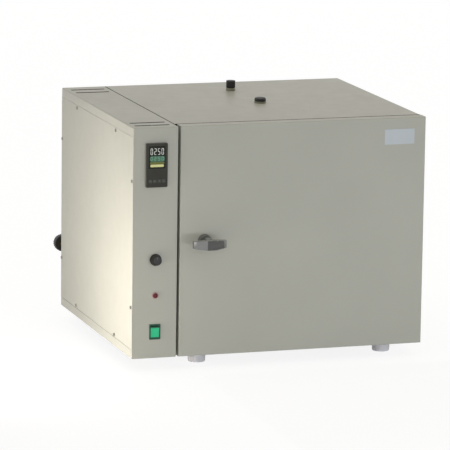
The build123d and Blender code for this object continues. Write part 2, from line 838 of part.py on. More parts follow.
with BuildPart() as column_shell:
    strip_low = casing_strip
    strip_high = cabinet_height - casing_strip
    block((0, column_width), (0, cabinet_depth), (0, cabinet_height))
    fillet(column_shell.edges(), bend_radius)
    block(
        (sheet, column_width - sheet),
        (sheet, cabinet_depth - sheet),
        (sheet, cabinet_height - sheet),
        Mode.SUBTRACT,
    )
    block((-1, lip_x), (-1, cabinet_depth + 1), (strip_low, strip_high), Mode.SUBTRACT)
    for seam, away in ((strip_low, 1), (strip_high, -1)):
        block((sheet / 2, lip_x + sheet), (0, cabinet_depth), sorted((seam, seam - away * sheet)))
        block(
            (lip_x, lip_x + sheet),
            (0, cabinet_depth),
            sorted((seam, seam + away * panel_lip)),
        )
    for edge, away in ((0, 1), (cabinet_depth, -1)):
        block(
            (lip_x, lip_x + sheet),
            sorted((edge, edge + away * panel_lip)),
            (strip_low, strip_high),
        )
    cover_rows = (strip_low + cover_screw_inset, strip_high - cover_screw_inset)
    cover_seats = [(y, z) for y in cover_screw_y for z in cover_rows]
    edge_seats = [(y, z) for y in (screw_inset, cabinet_depth - screw_inset) for z in cover_screw_z]
    discs(side(0), cover_seats + edge_seats, screw_hole, 9, Mode.SUBTRACT)
    for z, size in (
        (controller_z, (controller_case_width, controller_case_height)),
        (switch_z, (switch_body[0], switch_body[2])),
    ):
        block(
            around(panel_x, size[0] + 2 * cutout_clearance),
            (-1, sheet + 1),
            around(z, size[1] + 2 * cutout_clearance),
            Mode.SUBTRACT,
        )
    for z, diameter in ((limiter_z, limiter_bush_diameter), (lamp_z, lamp_barrel_diameter)):
        cutout = diameter + 2 * cutout_clearance
        discs(front(sheet + 1), [(panel_x, z)], cutout, 9, Mode.SUBTRACT)
    discs(
        front(cabinet_depth + 1),
        valve_seat,
        valve_shank_diameter + 2 * cutout_clearance,
        sheet + 2,
        Mode.SUBTRACT,
    )
    block(
        around(panel_x, inlet_body[0] + 2 * cutout_clearance),
        (cabinet_depth - sheet - 1, cabinet_depth + 1),
        around(inlet_z, inlet_body[1] + 2 * cutout_clearance),
        Mode.SUBTRACT,
    )
    discs(
        side(column_width - sheet - 1),
        [(pipe_run_y, valve_z)],
        pipe_diameter + 2,
        9,
        Mode.SUBTRACT,
    )
    bridge_x = (vent_slot_span[0] + vent_slot_span[1]) / 2
    bridges = around(bridge_x, vent_slot_bridge)
    for rows, spans in (
        (vent_plain_rows, (vent_slot_span,)),
        (vent_split_rows, ((vent_slot_span[0], bridges[0]), (bridges[1], vent_slot_span[1]))),
    ):
        for y in rows:
            for span in spans:
                block(
                    span,
                    around(y, vent_slot_width),
                    (cabinet_height - sheet - 1, cabinet_height + 1),
                    Mode.SUBTRACT,
                )
save(column_shell, "column_shell")

with BuildPart() as side_cover:
    block(
        (0, sheet),
        (0, cabinet_depth),
        (strip_low + panel_gap, strip_high - panel_gap),
    )
    chamfer(side_cover.faces().sort_by(Axis.X)[0].edges(), 0.7)
    discs(side(-1), cover_seats + edge_seats, screw_hole, 9, Mode.SUBTRACT)
save(side_cover, "side_cover")

rear_plane = Plane(
    origin=(origin_x, origin_y + cabinet_depth, origin_z),
    x_dir=(-1, 0, 0),
    z_dir=(0, 1, 0),
)
left_plane = Plane(origin=(origin_x, origin_y, origin_z), x_dir=(0, -1, 0), z_dir=(-1, 0, 0))
hinge_heights = (hinge_inset, cabinet_height - hinge_inset)
hinge_screw_z = [z for height in hinge_heights for z in around(height, hinge_screw_spread)]
with BuildPart() as cabinet_screws:
    for seam in (casing_strip / 2, cabinet_height - casing_strip / 2):
        pan_screws(side(cabinet_width), [(y, seam) for y in casing_screw_y])
    pan_screws(rear_plane, [(-x, z) for x, z in rear_seats])
    pan_screws(left_plane, [(-y, z) for y, z in cover_seats + edge_seats])
    hinge_seats = [(hinge_y + hinge_screw_inset, z) for z in hinge_screw_z]
    pan_screws(side(door_right + hinge_leaf), hinge_seats, door_overhang + hinge_leaf)
save(cabinet_screws, "cabinet_screws")

window_z = controller_z + controller_height / 2 - window_inset - window_height / 2
key_z = controller_z - controller_height / 2 + key_rise
key_xs = [panel_x + (index - (key_count - 1) / 2) * key_pitch for index in range(key_count)]
with BuildPart() as controller_bezel:
    plate(
        front(0),
        (panel_x, controller_z),
        (controller_width, controller_height),
        controller_bezel_corner,
        controller_bezel_depth,
    )
    chamfer(controller_bezel.faces().sort_by(Axis.Y)[0].edges(), 0.8)
    plate(
        front(1),
        (panel_x, window_z),
        (window_width, window_height),
        1.0,
        controller_bezel_depth + 2,
        Mode.SUBTRACT,
    )
    for x in key_xs:
        block(
            around(x, key_width + 2 * key_gap),
            (-controller_bezel_depth - 1, 1),
            around(key_z, key_height + 2 * key_gap),
            Mode.SUBTRACT,
        )
save(controller_bezel, "controller_bezel")

with BuildPart() as controller_window:
    window_face = -controller_bezel_depth + 0.6
    plate(
        front(window_face + window_thickness),
        (panel_x, window_z),
        (window_width - 0.2, window_height - 0.2),
        0.9,
        window_thickness,
    )
save(controller_window, "controller_window")

with BuildPart() as controller_case:
    case_xs = around(panel_x, controller_case_width)
    case_zs = around(controller_z, controller_case_height)
    block(case_xs, (0, controller_case_depth), case_zs)
    block(
        (case_xs[0] + controller_wall, case_xs[1] - controller_wall),
        (-1, controller_case_depth - controller_wall),
        (case_zs[0] + controller_wall, case_zs[1] - controller_wall),
        Mode.SUBTRACT,
    )
save(controller_case, "controller_case")

with BuildPart() as controller_board:
    block(
        (case_xs[0] + controller_wall, case_xs[1] - controller_wall),
        (board_setback, board_setback + board_thickness),
        (case_zs[0] + controller_wall, case_zs[1] - controller_wall),
    )
    block(
        around(panel_x, window_width - 2),
        (window_face + window_thickness, board_setback),
        around(window_z, window_height - 2),
    )
save(controller_board, "controller_board")

for index, x in enumerate(key_xs, start=1):
    with BuildPart() as key:
        key_face = -controller_bezel_depth - key_proud
        block(around(x, key_width), (key_face, key_face + key_length), around(key_z, key_height))
        chamfer(key.faces().sort_by(Axis.Y)[0].edges(), 0.6)
    save(key, f"key_{index}")

with BuildPart() as limiter_thermostat:
    block(
        around(panel_x, limiter_body[0]),
        (sheet, sheet + limiter_body[1]),
        around(limiter_z, limiter_body[2]),
    )
    discs(front(sheet), [(panel_x, limiter_z)], limiter_bush_diameter, sheet + 3)
    stem_bore = limiter_stem_diameter + 2 * running_clearance
    discs(front(-3), [(panel_x, limiter_z)], stem_bore, -limiter_stem_length - 4, Mode.SUBTRACT)
save(limiter_thermostat, "limiter_thermostat")

with BuildPart() as limiter_knob:
    limiter_seat = [(panel_x, limiter_z)]
    with BuildSketch(side(panel_x)) as half_profile:
        with BuildLine():
            Polyline(
                (-knob_gap, limiter_z),
                (-knob_gap, limiter_z + limiter_knob_diameter / 2),
                (-limiter_skirt_height, limiter_z + limiter_knob_diameter / 2),
                (-limiter_skirt_height, limiter_z + limiter_knob_diameter / 2 - 1),
                (1 - limiter_knob_height, limiter_z + limiter_knob_tip / 2),
                (-limiter_knob_height, limiter_z + limiter_knob_tip / 2 - 1),
                (-limiter_knob_height, limiter_z),
                close=True,
            )
        make_face()
    knob_axis = Axis(
        (origin_x + panel_x, origin_y, origin_z + limiter_z),
        (0, 1, 0),
    )
    revolve(half_profile.sketch, axis=knob_axis)
    discs(front(0), limiter_seat, limiter_bush_diameter + 1, 3.6, Mode.SUBTRACT)
    discs(front(-3.6), limiter_seat, limiter_stem_diameter, -limiter_stem_length)
    block(
        around(panel_x, 1.6),
        (-limiter_knob_height, -limiter_knob_height + 0.8),
        (limiter_z + 2, limiter_z + limiter_knob_diameter / 2),
        Mode.SUBTRACT,
    )
save(limiter_knob, "limiter_knob")

with BuildPart() as lamp_bezel:
    lamp_seat = [(panel_x, lamp_z)]
    discs(front(0), lamp_seat, lamp_bezel_diameter, lamp_bezel_height)
    chamfer(lamp_bezel.faces().sort_by(Axis.Y)[0].edges(), 0.7)
    discs(front(0), lamp_seat, lamp_barrel_diameter, -lamp_barrel_length)
    lens_pocket = lamp_lens_diameter + 0.2
    discs(front(1), lamp_seat, lens_pocket, lamp_bezel_height + 2, Mode.SUBTRACT)
save(lamp_bezel, "lamp_bezel")

with BuildPart() as lamp_lens:
    discs(front(1), lamp_seat, lamp_lens_diameter, 1 + lamp_lens_height)
    chamfer(lamp_lens.faces().sort_by(Axis.Y)[0].edges(), 2.0, 3.0)
save(lamp_lens, "lamp_lens")

with BuildPart() as switch_frame:
    plate(front(0), (panel_x, switch_z), (switch_width, switch_height), 1.5, switch_bezel)
    chamfer(switch_frame.faces().sort_by(Axis.Y)[0].edges(), 0.7)
    block(around(panel_x, switch_body[0]), (0, switch_body[1]), around(switch_z, switch_body[2]))
    block(
        around(panel_x, switch_opening[0]),
        (-switch_bezel - 1, switch_cavity),
        around(switch_z, switch_opening[1]),
        Mode.SUBTRACT,
    )
    trunnion_seat = [(rocker_pivot_depth, switch_z)]
    discs(
        side(panel_x - switch_body[0] / 2 - 1),
        trunnion_seat,
        trunnion_diameter + 2 * running_clearance,
        switch_body[0] + 2,
        Mode.SUBTRACT,
    )
save(switch_frame, "switch_frame")

with BuildPart() as switch_rocker:
    tilt = math.radians(rocker_tilt)
    rocker_plane = Plane(
        origin=(
            origin_x + panel_x - rocker_width / 2,
            origin_y + rocker_pivot_depth,
            origin_z + switch_z,
        ),
        x_dir=(0, math.cos(tilt), math.sin(tilt)),
        z_dir=(1, 0, 0),
    )
    rim_depth = -switch_bezel - 1.2 - rocker_pivot_depth
    with BuildSketch(rocker_plane) as profile:
        with BuildLine():
            Polyline(
                (rim_depth, rocker_height / 2),
                (rim_depth + rocker_face_rise, 0),
                (rim_depth, -rocker_height / 2),
                (-1, -rocker_height / 2),
                (4, -rocker_root / 2),
                (4, rocker_root / 2),
                (-1, rocker_height / 2),
                close=True,
            )
        make_face()
    extrude(profile.sketch, amount=rocker_width)
    trunnion_run = rocker_width + 2 * trunnion_reach
    discs(side(panel_x - trunnion_run / 2), trunnion_seat, trunnion_diameter, trunnion_run)
save(switch_rocker, "switch_rocker")

with BuildPart() as heatsink:
    sink_right = column_width - sheet
    sink_left = sink_right - heatsink_size[0]
    sink_ys = around(relay_y, heatsink_size[1])
    sink_zs = around(relay_z, heatsink_size[2])
    block((sink_left, sink_left + heatsink_base), sink_ys, sink_zs)
    fin_pitch = (heatsink_size[1] - heatsink_fin) / (heatsink_fins - 1)
    for index in range(heatsink_fins):
        fin_y = sink_ys[0] + index * fin_pitch
        block((sink_left + heatsink_base, sink_right), (fin_y, fin_y + heatsink_fin), sink_zs)
save(heatsink, "heatsink")

with BuildPart() as heater_relay:
    block(
        (sink_left - relay_body[0], sink_left),
        around(relay_y, relay_body[1]),
        around(relay_z, relay_body[2]),
    )
    chamfer(heater_relay.faces().sort_by(Axis.X)[0].edges(), 1.5)
save(heater_relay, "heater_relay")

with BuildPart() as terminal_block:
    terminal_xs = (column_width - sheet - terminal_size[0], column_width - sheet)
    block(terminal_xs, around(terminal_y, terminal_size[1]), around(terminal_z, terminal_size[2]))
    for index in range(terminal_screws):
        pocket_y = terminal_y + (index - (terminal_screws - 1) / 2) * terminal_pitch
        block(
            (terminal_xs[0] - 1, terminal_xs[0] + 5),
            around(pocket_y, terminal_pitch - 4),
            around(terminal_z, terminal_size[2] - 8),
            Mode.SUBTRACT,
        )
save(terminal_block, "terminal_block")

with BuildPart() as mains_inlet:
    socket_back = cabinet_depth + inlet_flange_thickness
    plate(
        front(socket_back),
        (panel_x, inlet_z),
        inlet_flange,
        4.0,
        inlet_flange_thickness,
    )
    block(
        around(panel_x, inlet_body[0]),
        (cabinet_depth - inlet_body_depth, cabinet_depth),
        around(inlet_z, inlet_body[1]),
    )
    block(
        around(panel_x, inlet_socket[0]),
        (socket_back - inlet_socket_depth, socket_back + 1),
        around(inlet_z, inlet_socket[1]),
        Mode.SUBTRACT,
    )
    for offset, rise in ((-1, -1), (0, 1), (1, -1)):
        block(
            around(panel_x + offset * inlet_blade_pitch, inlet_blade[0]),
            (socket_back - inlet_socket_depth, socket_back - inlet_socket_depth + inlet_blade_length),
            around(inlet_z + rise * 2, inlet_blade[1]),
        )
save(mains_inlet, "mains_inlet")

# --- Door ---------------------------------------------------------------------------------

door_hinge_seats = [(hinge_y - hinge_door_screw_inset, z) for z in hinge_screw_z]
seam_x = (door_left + door_return / 2 + 1, door_right - door_return / 2 - 1)
seam_z = (door_return / 2 + 1, cabinet_height - door_return / 2 - 1)
plate_seats = [(x, z) for x in seam_x for z in door_screw_z]
plate_seats += [(x, z) for x in door_screw_x for z in seam_z]
latch_seat = [(latch_x, middle_z)]
spindle_bore = spindle_diameter + 2 * running_clearance
with BuildPart() as door_shell:
    block((door_left, door_right), (0, door_thickness), (0, cabinet_height))
    fillet(door_shell.faces().sort_by(Axis.Y)[0].edges(), bend_radius)
    block(
        (door_left + sheet, door_right - sheet),
        (sheet, door_thickness - sheet),
        (sheet, cabinet_height - sheet),
        Mode.SUBTRACT,
    )
    block(
        (door_left + door_return, door_right - door_return),
        (door_thickness - sheet - 1, door_thickness + 1),
        (door_return, cabinet_height - door_return),
        Mode.SUBTRACT,
    )
    discs(side(door_right + 1), door_hinge_seats, screw_hole, -5, Mode.SUBTRACT)
    discs(front(sheet + 1), latch_seat, spindle_bore + 4, 5, Mode.SUBTRACT)
    sink_hole = plate_screw_head + 2 * running_clearance
    discs(front(door_thickness), plate_seats, sink_hole, plate_screw_sink, Mode.SUBTRACT)
    discs(front(door_thickness), plate_seats, screw_hole, sheet + 1, Mode.SUBTRACT)
save(door_shell, "door_shell")

rim_back = door_thickness - sheet
plate_size = (
    door_right - door_left - 2 * (door_return + inner_plate_clearance),
    cabinet_height - 2 * (door_return + inner_plate_clearance),
)
plate_back = door_thickness + inner_plate_proud
seal_inner = (chamber_width + 2 * seal_inset, chamber_height + 2 * seal_inset)
seal_outer = (seal_inner[0] + 2 * seal_width, seal_inner[1] + 2 * seal_width)
seal_corner = chamber_corner + seal_inset
with BuildPart() as door_inner_plate:
    plate(
        front(plate_back),
        (door_x, middle_z),
        plate_size,
        4.0,
        inner_plate_thickness,
    )
    plate(
        front(rim_back),
        (door_x, middle_z),
        (plate_size[0] + 2 * inner_plate_rim, plate_size[1] + 2 * inner_plate_rim),
        4.0,
        2.0,
    )
    with BuildSketch(front(plate_back)) as groove:
        with Locations((casing_x, middle_z)):
            RectangleRounded(
                seal_outer[0] + 2 * seal_clearance,
                seal_outer[1] + 2 * seal_clearance,
                seal_corner + seal_width + seal_clearance,
            )
            RectangleRounded(
                seal_inner[0] - 2 * seal_clearance,
                seal_inner[1] - 2 * seal_clearance,
                seal_corner - seal_clearance,
                mode=Mode.SUBTRACT,
            )
    extrude(groove.sketch, amount=seal_groove, mode=Mode.SUBTRACT)
    discs(front(plate_back + 1), latch_seat, spindle_bore, inner_plate_thickness + 2, Mode.SUBTRACT)
    discs(front(rim_back + 1), plate_seats, screw_hole, 5, Mode.SUBTRACT)
save(door_inner_plate, "door_inner_plate")

with BuildPart() as door_gasket:
    seal_front = plate_back - seal_groove
    seal_depth = flange_front - seal_clearance - seal_front
    with BuildSketch(front(seal_front + seal_depth)) as ring:
        with Locations((casing_x, middle_z)):
            RectangleRounded(seal_outer[0], seal_outer[1], seal_corner + seal_width)
            RectangleRounded(seal_inner[0], seal_inner[1], seal_corner, mode=Mode.SUBTRACT)
    extrude(ring.sketch, amount=seal_depth)
save(door_gasket, "door_gasket")

with BuildPart() as door_insulation:
    block(
        (door_left + door_return - 3, door_right - door_return + 3),
        (sheet, plate_back - inner_plate_thickness),
        (door_return - 3, cabinet_height - door_return + 3),
    )
    discs(front(door_thickness), latch_seat, spindle_bore + 8, door_thickness, Mode.SUBTRACT)
    discs(front(door_thickness), plate_seats, screw_hole + 1, door_thickness - screw_length, Mode.SUBTRACT)
save(door_insulation, "door_insulation")

with BuildPart() as badge_plate:
    block(
        (door_right - badge_inset_x - badge_width, door_right - badge_inset_x),
        (-badge_thickness, 0),
        (
            cabinet_height - badge_inset_z - badge_height,
            cabinet_height - badge_inset_z,
        ),
    )
save(badge_plate, "badge_plate")

with BuildPart() as handle_bush:
    bush_taper = math.degrees(math.atan2((bush_diameter - bush_tip_diameter) / 2, bush_height))
    discs(front(0), latch_seat, bush_diameter, bush_height, taper=bush_taper)
    discs(front(0), latch_seat, spindle_bore + 3.6, -sheet - 3)
    bush_bore_run = door_thickness + bush_height + 1
    discs(front(door_thickness), latch_seat, spindle_bore, bush_bore_run, Mode.SUBTRACT)
save(handle_bush, "handle_bush")

with BuildPart() as handle_lever:
    hub_front = -bush_height - hub_gap
    bar_back = -handle_reach + handle_depth
    bar_end_back = -handle_reach + handle_end_recess + handle_end_depth
    half = handle_length / 2
    plan_half = (
        (hub_diameter / 2, bar_back),
        (half, bar_end_back),
        (half, -handle_reach + handle_end_recess),
        (handle_shoulder, -handle_reach + handle_shoulder_recess),
        (handle_flat / 2, -handle_reach),
    )
    with BuildSketch(level(middle_z - handle_middle_height / 2)) as plan:
        with BuildLine():
            right_points = [(latch_x + x, y) for x, y in plan_half]
            left_points = [(latch_x - x, y) for x, y in reversed(plan_half)]
            Polyline(*right_points, *left_points, close=True)
        make_face()
    extrude(plan.sketch, amount=handle_middle_height)
    elevation_quarter = (
        (half, handle_end_height / 2),
        (handle_flat / 2, handle_middle_height / 2),
    )
    with BuildSketch(front(0)) as elevation:
        with BuildLine():
            upper_right = [(latch_x + x, middle_z + z) for x, z in elevation_quarter]
            upper_left = [(latch_x - x, middle_z + z) for x, z in reversed(elevation_quarter)]
            lower_left = [(latch_x - x, middle_z - z) for x, z in elevation_quarter]
            lower_right = [(latch_x + x, middle_z - z) for x, z in reversed(elevation_quarter)]
            Polyline(*upper_right, *upper_left, *lower_left, *lower_right, close=True)
        make_face()
    extrude(elevation.sketch, amount=handle_reach + 1, mode=Mode.INTERSECT)
    discs(front(hub_front), latch_seat, hub_diameter, handle_reach - handle_depth + hub_front + 4)
    discs(
        front(hub_front + 1),
        latch_seat,
        spindle_bore,
        handle_reach - handle_depth + hub_front + handle_seat,
        Mode.SUBTRACT,
    )
save(handle_lever, "handle_lever")

with BuildPart() as latch_spindle:
    spindle_front = hub_front - (handle_reach - handle_depth + hub_front + handle_seat - 2)
    spindle_back = cam_back + cam_nut_height + 2
    discs(front(spindle_back), latch_seat, spindle_diameter, spindle_back - spindle_front)
    chamfer(latch_spindle.edges().filter_by(GeomType.CIRCLE), 0.6)
save(latch_spindle, "latch_spindle")

with BuildPart() as latch_cam:
    discs(front(cam_back), latch_seat, cam_hub_diameter, cam_thickness)
    block(
        around(latch_x, cam_width),
        (cam_front, cam_back),
        (middle_z - cam_length, middle_z),
    )
    discs(front(cam_back + 1), latch_seat, spindle_bore, cam_thickness + 2, Mode.SUBTRACT)
save(latch_cam, "latch_cam")

with BuildPart() as cam_nut:
    with BuildSketch(front(cam_back + cam_nut_height)) as hexagon:
        with Locations(*latch_seat):
            RegularPolygon(cam_nut_flats / 2, 6, major_radius=False)
            Circle(spindle_bore / 2, mode=Mode.SUBTRACT)
    extrude(hexagon.sketch, amount=cam_nut_height)
save(cam_nut, "cam_nut")

# --- Hinges -------------------------------------------------------------------------------

pin_hole = hinge_pin_diameter + 2 * running_clearance
knuckle_keepout = knuckle_diameter / 2 + 2 * knuckle_clearance
knuckle_inset = knuckle_clearance / 2
for label, direction, leaf_seat, leaf_width, leaf_inset in (
    ("hinge_leaves_fixed", 1, cabinet_width, hinge_leaf_width, hinge_screw_inset),
    ("hinge_leaves_moving", -1, door_right, hinge_door_leaf_width, hinge_door_screw_inset),
):
    with BuildPart() as leaves:
        for height in hinge_heights:
            low, high = around(height, hinge_height)
            inner_low, inner_high = around(height, hinge_knuckle_length)
            outer_spans = ((low, inner_low), (inner_high, high))
            inner_spans = ((inner_low, inner_high),)
            barrels, notches = outer_spans, inner_spans
            if direction < 0:
                barrels, notches = inner_spans, outer_spans
            block(
                (leaf_seat, door_right + hinge_leaf),
                sorted((hinge_y, hinge_y + direction * leaf_width)),
                (low, high),
            )
            for notch in notches:
                block(
                    (cabinet_width - 1, door_right + hinge_reach + 1),
                    around(hinge_y, 2 * knuckle_keepout),
                    (notch[0] - knuckle_inset, notch[1] + knuckle_inset),
                    Mode.SUBTRACT,
                )
            for barrel in barrels:
                discs(
                    level(barrel[0] + knuckle_inset),
                    [(hinge_x, hinge_y)],
                    knuckle_diameter,
                    barrel[1] - barrel[0] - 2 * knuckle_inset,
                )
            discs(level(low - 1), [(hinge_x, hinge_y)], pin_hole, hinge_height + 2, Mode.SUBTRACT)
        leaf_seats = [(hinge_y + direction * leaf_inset, z) for z in hinge_screw_z]
        leaf_bore_run = door_overhang + hinge_leaf + 2
        discs(side(cabinet_width - 1), leaf_seats, screw_hole, leaf_bore_run, Mode.SUBTRACT)
    save(leaves, label)

with BuildPart() as hinge_pins:
    for height in hinge_heights:
        low, high = around(height, hinge_height)
        discs(level(low), [(hinge_x, hinge_y)], hinge_pin_diameter, hinge_height)
save(hinge_pins, "hinge_pins")

with BuildPart() as door_screws:
    pan_screws(side(door_right + hinge_leaf), door_hinge_seats, hinge_leaf)
    discs(front(door_thickness), plate_seats, plate_screw_head, plate_screw_sink)
    discs(front(door_thickness), plate_seats, screw_diameter, screw_length)
save(door_screws, "door_screws")
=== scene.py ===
"""Looks of the bench-top vacuum oven: finishes, small turned pieces and the studio round it."""

from __future__ import annotations

import json
import logging
import math
from dataclasses import dataclass, field
from enum import Enum

import bmesh
import bpy
import numpy as np
from mathutils import Matrix, Vector

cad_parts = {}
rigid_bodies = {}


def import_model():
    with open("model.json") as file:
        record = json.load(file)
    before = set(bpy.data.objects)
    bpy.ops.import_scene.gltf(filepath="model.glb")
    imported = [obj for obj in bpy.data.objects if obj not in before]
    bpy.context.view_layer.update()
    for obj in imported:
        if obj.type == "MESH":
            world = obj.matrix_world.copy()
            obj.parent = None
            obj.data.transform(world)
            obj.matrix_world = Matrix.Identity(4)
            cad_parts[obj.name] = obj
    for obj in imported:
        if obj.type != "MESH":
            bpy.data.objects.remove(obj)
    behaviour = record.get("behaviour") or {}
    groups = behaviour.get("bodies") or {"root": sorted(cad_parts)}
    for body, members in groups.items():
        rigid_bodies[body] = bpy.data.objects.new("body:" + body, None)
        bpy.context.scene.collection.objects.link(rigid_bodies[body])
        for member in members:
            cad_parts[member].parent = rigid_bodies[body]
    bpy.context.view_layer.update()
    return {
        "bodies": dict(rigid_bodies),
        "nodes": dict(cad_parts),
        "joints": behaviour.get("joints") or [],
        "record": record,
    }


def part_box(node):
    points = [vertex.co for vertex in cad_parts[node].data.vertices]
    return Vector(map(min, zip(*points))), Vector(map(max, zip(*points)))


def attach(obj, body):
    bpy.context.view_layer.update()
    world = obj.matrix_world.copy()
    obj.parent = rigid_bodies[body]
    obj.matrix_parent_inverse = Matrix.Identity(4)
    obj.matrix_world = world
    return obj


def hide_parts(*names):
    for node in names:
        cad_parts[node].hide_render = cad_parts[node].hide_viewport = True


LOG = logging.getLogger("vacuum_oven")
MM = 0.001
SHARP_ANGLE = math.radians(32)
WELD_REACH = 0.01 * MM
DOUBLE_REACH = 0.001 * MM
Socket = bpy.types.NodeSocket
Material = bpy.types.Material
Point = tuple[float, float, float]
Colour = tuple[float, float, float]
Factors = tuple[float, float, float]
Bar = tuple[float, float, float, float]


class Facing(Enum):
    """The way a turned or flat piece looks, as its local axes (right, up, out)."""

    FRONT = ((1, 0, 0), (0, 0, 1), (0, -1, 0))
    BACK = ((-1, 0, 0), (0, 0, 1), (0, 1, 0))
    TOP = ((1, 0, 0), (0, 1, 0), (0, 0, 1))
    BOTTOM = ((1, 0, 0), (0, -1, 0), (0, 0, -1))

    @property
    def axes(self) -> np.ndarray:
        """Rows are the right, up and out directions."""
        return np.array(self.value, float)


# --- Finishes -----------------------------------------------------------------------------


class NodeBench:
    """A node tree, with short calls for the nodes that materials and surroundings share."""

    def __init__(self, tree: bpy.types.NodeTree) -> None:
        """Keep the tree to work on.

        Args:
            tree: the node tree.
        """
        self.tree = tree

    def node(self, kind: str, **settings: object) -> bpy.types.Node:
        """Add a node.

        Args:
            kind: the node's type name.
            settings: attributes to set on it.

        Returns:
            The new node.
        """
        made = self.tree.nodes.new(kind)
        for key, value in settings.items():
            setattr(made, key, value)
        return made

    def link(self, source: Socket, target: Socket) -> None:
        """Join two sockets."""
        self.tree.links.new(source, target)

    def feed(self, source: Socket | float, target: Socket) -> None:
        """Give an input another socket's value, or a number."""
        if isinstance(source, Socket):
            self.link(source, target)
        else:
            target.default_value = source

    def math(self, operation: str, value: Socket, other: Socket | float | None = None) -> Socket:
        """Work out one operation on a value.

        Args:
            operation: name of the operation.
            value: the first operand.
            other: the second operand, a socket or a number, or None.

        Returns:
            The result.
        """
        made = self.node("ShaderNodeMath", operation=operation)
        self.link(value, made.inputs[0])
        if other is not None:
            self.feed(other, made.inputs[1])
        return made.outputs[0]

    def ranged(
        self, value: Socket, source: tuple[float, float], result: tuple[float, float]
    ) -> Socket:
        """Carry a value from one range to another.

        Args:
            value: the value.
            source: ends of the range that it comes in.
            result: what those ends become.

        Returns:
            The mapped value.
        """
        made = self.node("ShaderNodeMapRange")
        made.inputs["From Min"].default_value, made.inputs["From Max"].default_value = source
        made.inputs["To Min"].default_value, made.inputs["To Max"].default_value = result
        self.link(value, made.inputs["Value"])
        return made.outputs["Result"]

    def seen_rays(self) -> Socket:
        """One for camera, glossy and transmission rays, and zero for the rest."""
        rays = self.node("ShaderNodeLightPath").outputs
        mirrored = self.math("MAXIMUM", rays["Is Camera Ray"], rays["Is Glossy Ray"])
        return self.math("MAXIMUM", mirrored, rays["Is Transmission Ray"])


class MaterialBench(NodeBench):
    """One material's tree, with its shader and what the finishes do to it."""

    def __init__(self, name: str) -> None:
        """Start a material with its shader and object coordinates.

        Args:
            name: name of the material.
        """
        self.material = bpy.data.materials.new(name)
        self.material.use_nodes = True
        super().__init__(self.material.node_tree)
        self.shader = self.tree.nodes["Principled BSDF"]
        self.coordinates = self.node("ShaderNodeTexCoord").outputs["Object"]

    def stretched(self, scale: Factors) -> Socket:
        """Object coordinates scaled along each axis.

        Args:
            scale: factor along X, Y and Z.

        Returns:
            The mapped coordinates.
        """
        mapping = self.node("ShaderNodeMapping")
        mapping.inputs["Scale"].default_value = scale
        self.link(self.coordinates, mapping.inputs["Vector"])
        return mapping.outputs["Vector"]

    def noise(
        self, scale: float, detail: float = 3.0, vector: Socket | None = None
    ) -> Socket:
        """Noise value over the surface.

        Args:
            scale: features per metre.
            detail: octaves.
            vector: coordinates, or object coordinates where left out.

        Returns:
            The noise factor.
        """
        texture = self.node("ShaderNodeTexNoise")
        texture.inputs["Scale"].default_value = scale
        texture.inputs["Detail"].default_value = detail
        self.link(vector or self.coordinates, texture.inputs["Vector"])
        return texture.outputs["Fac"]

    def rough(self, value: Socket, low: float, high: float) -> None:
        """Vary the roughness by a factor around one half.

        Args:
            value: the factor.
            low: roughness at 0.3.
            high: roughness at 0.7.
        """
        self.link(self.ranged(value, (0.3, 0.7), (low, high)), self.shader.inputs["Roughness"])

    def two_tone(self, value: Socket, first: Colour, second: Colour) -> None:
        """Blend the base colour between two tones by a factor.

        Args:
            value: the factor.
            first: colour at the low end.
            second: colour at the high end.
        """
        ramp = self.node("ShaderNodeValToRGB")
        ramp.color_ramp.elements[0].position = 0.35
        ramp.color_ramp.elements[0].color = (*first, 1)
        ramp.color_ramp.elements[1].position = 0.65
        ramp.color_ramp.elements[1].color = (*second, 1)
        self.link(value, ramp.inputs["Fac"])
        self.link(ramp.outputs["Color"], self.shader.inputs["Base Color"])

    def bump(self, height: Socket, strength: float, depth: float) -> None:
        """Raise the surface by a height value.

        Args:
            height: the value.
            strength: share of the full effect.
            depth: height in metres between its lowest and highest value.
        """
        bump = self.node("ShaderNodeBump")
        bump.inputs["Strength"].default_value = strength
        bump.inputs["Distance"].default_value = depth
        self.link(height, bump.inputs["Height"])
        self.link(bump.outputs["Normal"], self.shader.inputs["Normal"])

    def glow(self, colour: Colour, strength: Socket | float) -> None:
        """Let the surface give off light.

        Args:
            colour: colour of the light.
            strength: how strong it is.
        """
        self.shader.inputs["Emission Color"].default_value = (*colour, 1)
        self.feed(strength, self.shader.inputs["Emission Strength"])


def shade(colour: Colour, factor: float) -> Colour:
    """A colour made darker or lighter by a factor."""
    return tuple(min(1.0, part * factor) for part in colour)


@dataclass(frozen=True)
class Paint:
    """Stoved satin powder coat with a fine orange peel."""

    name: str
    colour: Colour
    roughness: float = 0.42
    peel: float = 420.0
    specular: float = 0.2

    def material(self) -> Material:
        """Build the coat's material."""
        bench = MaterialBench(self.name)
        bench.two_tone(bench.noise(6.0, 4.0), shade(self.colour, 0.985), shade(self.colour, 1.015))
        bench.rough(bench.noise(38.0, 5.0), self.roughness - 0.04, self.roughness + 0.05)
        bench.bump(bench.noise(self.peel, 2.0), 0.22, 0.00012)
        bench.shader.inputs["Specular IOR Level"].default_value = self.specular
        return bench.material


@dataclass(frozen=True)
class BrushedMetal:
    """Bare metal with grinding lines along one axis."""

    name: str
    colour: Colour
    roughness: float = 0.3
    lines: Factors = (12.0, 900.0, 900.0)
    depth: float = 0.00004

    def material(self) -> Material:
        """Build the metal's material."""
        bench = MaterialBench(self.name)
        grain = bench.noise(1.0, 4.0, bench.stretched(self.lines))
        cloud = bench.noise(9.0, 3.0)
        bench.two_tone(cloud, shade(self.colour, 0.94), shade(self.colour, 1.04))
        bench.rough(grain, self.roughness - 0.07, self.roughness + 0.1)
        bench.bump(grain, 0.35, self.depth)
        bench.shader.inputs["Metallic"].default_value = 1.0
        return bench.material


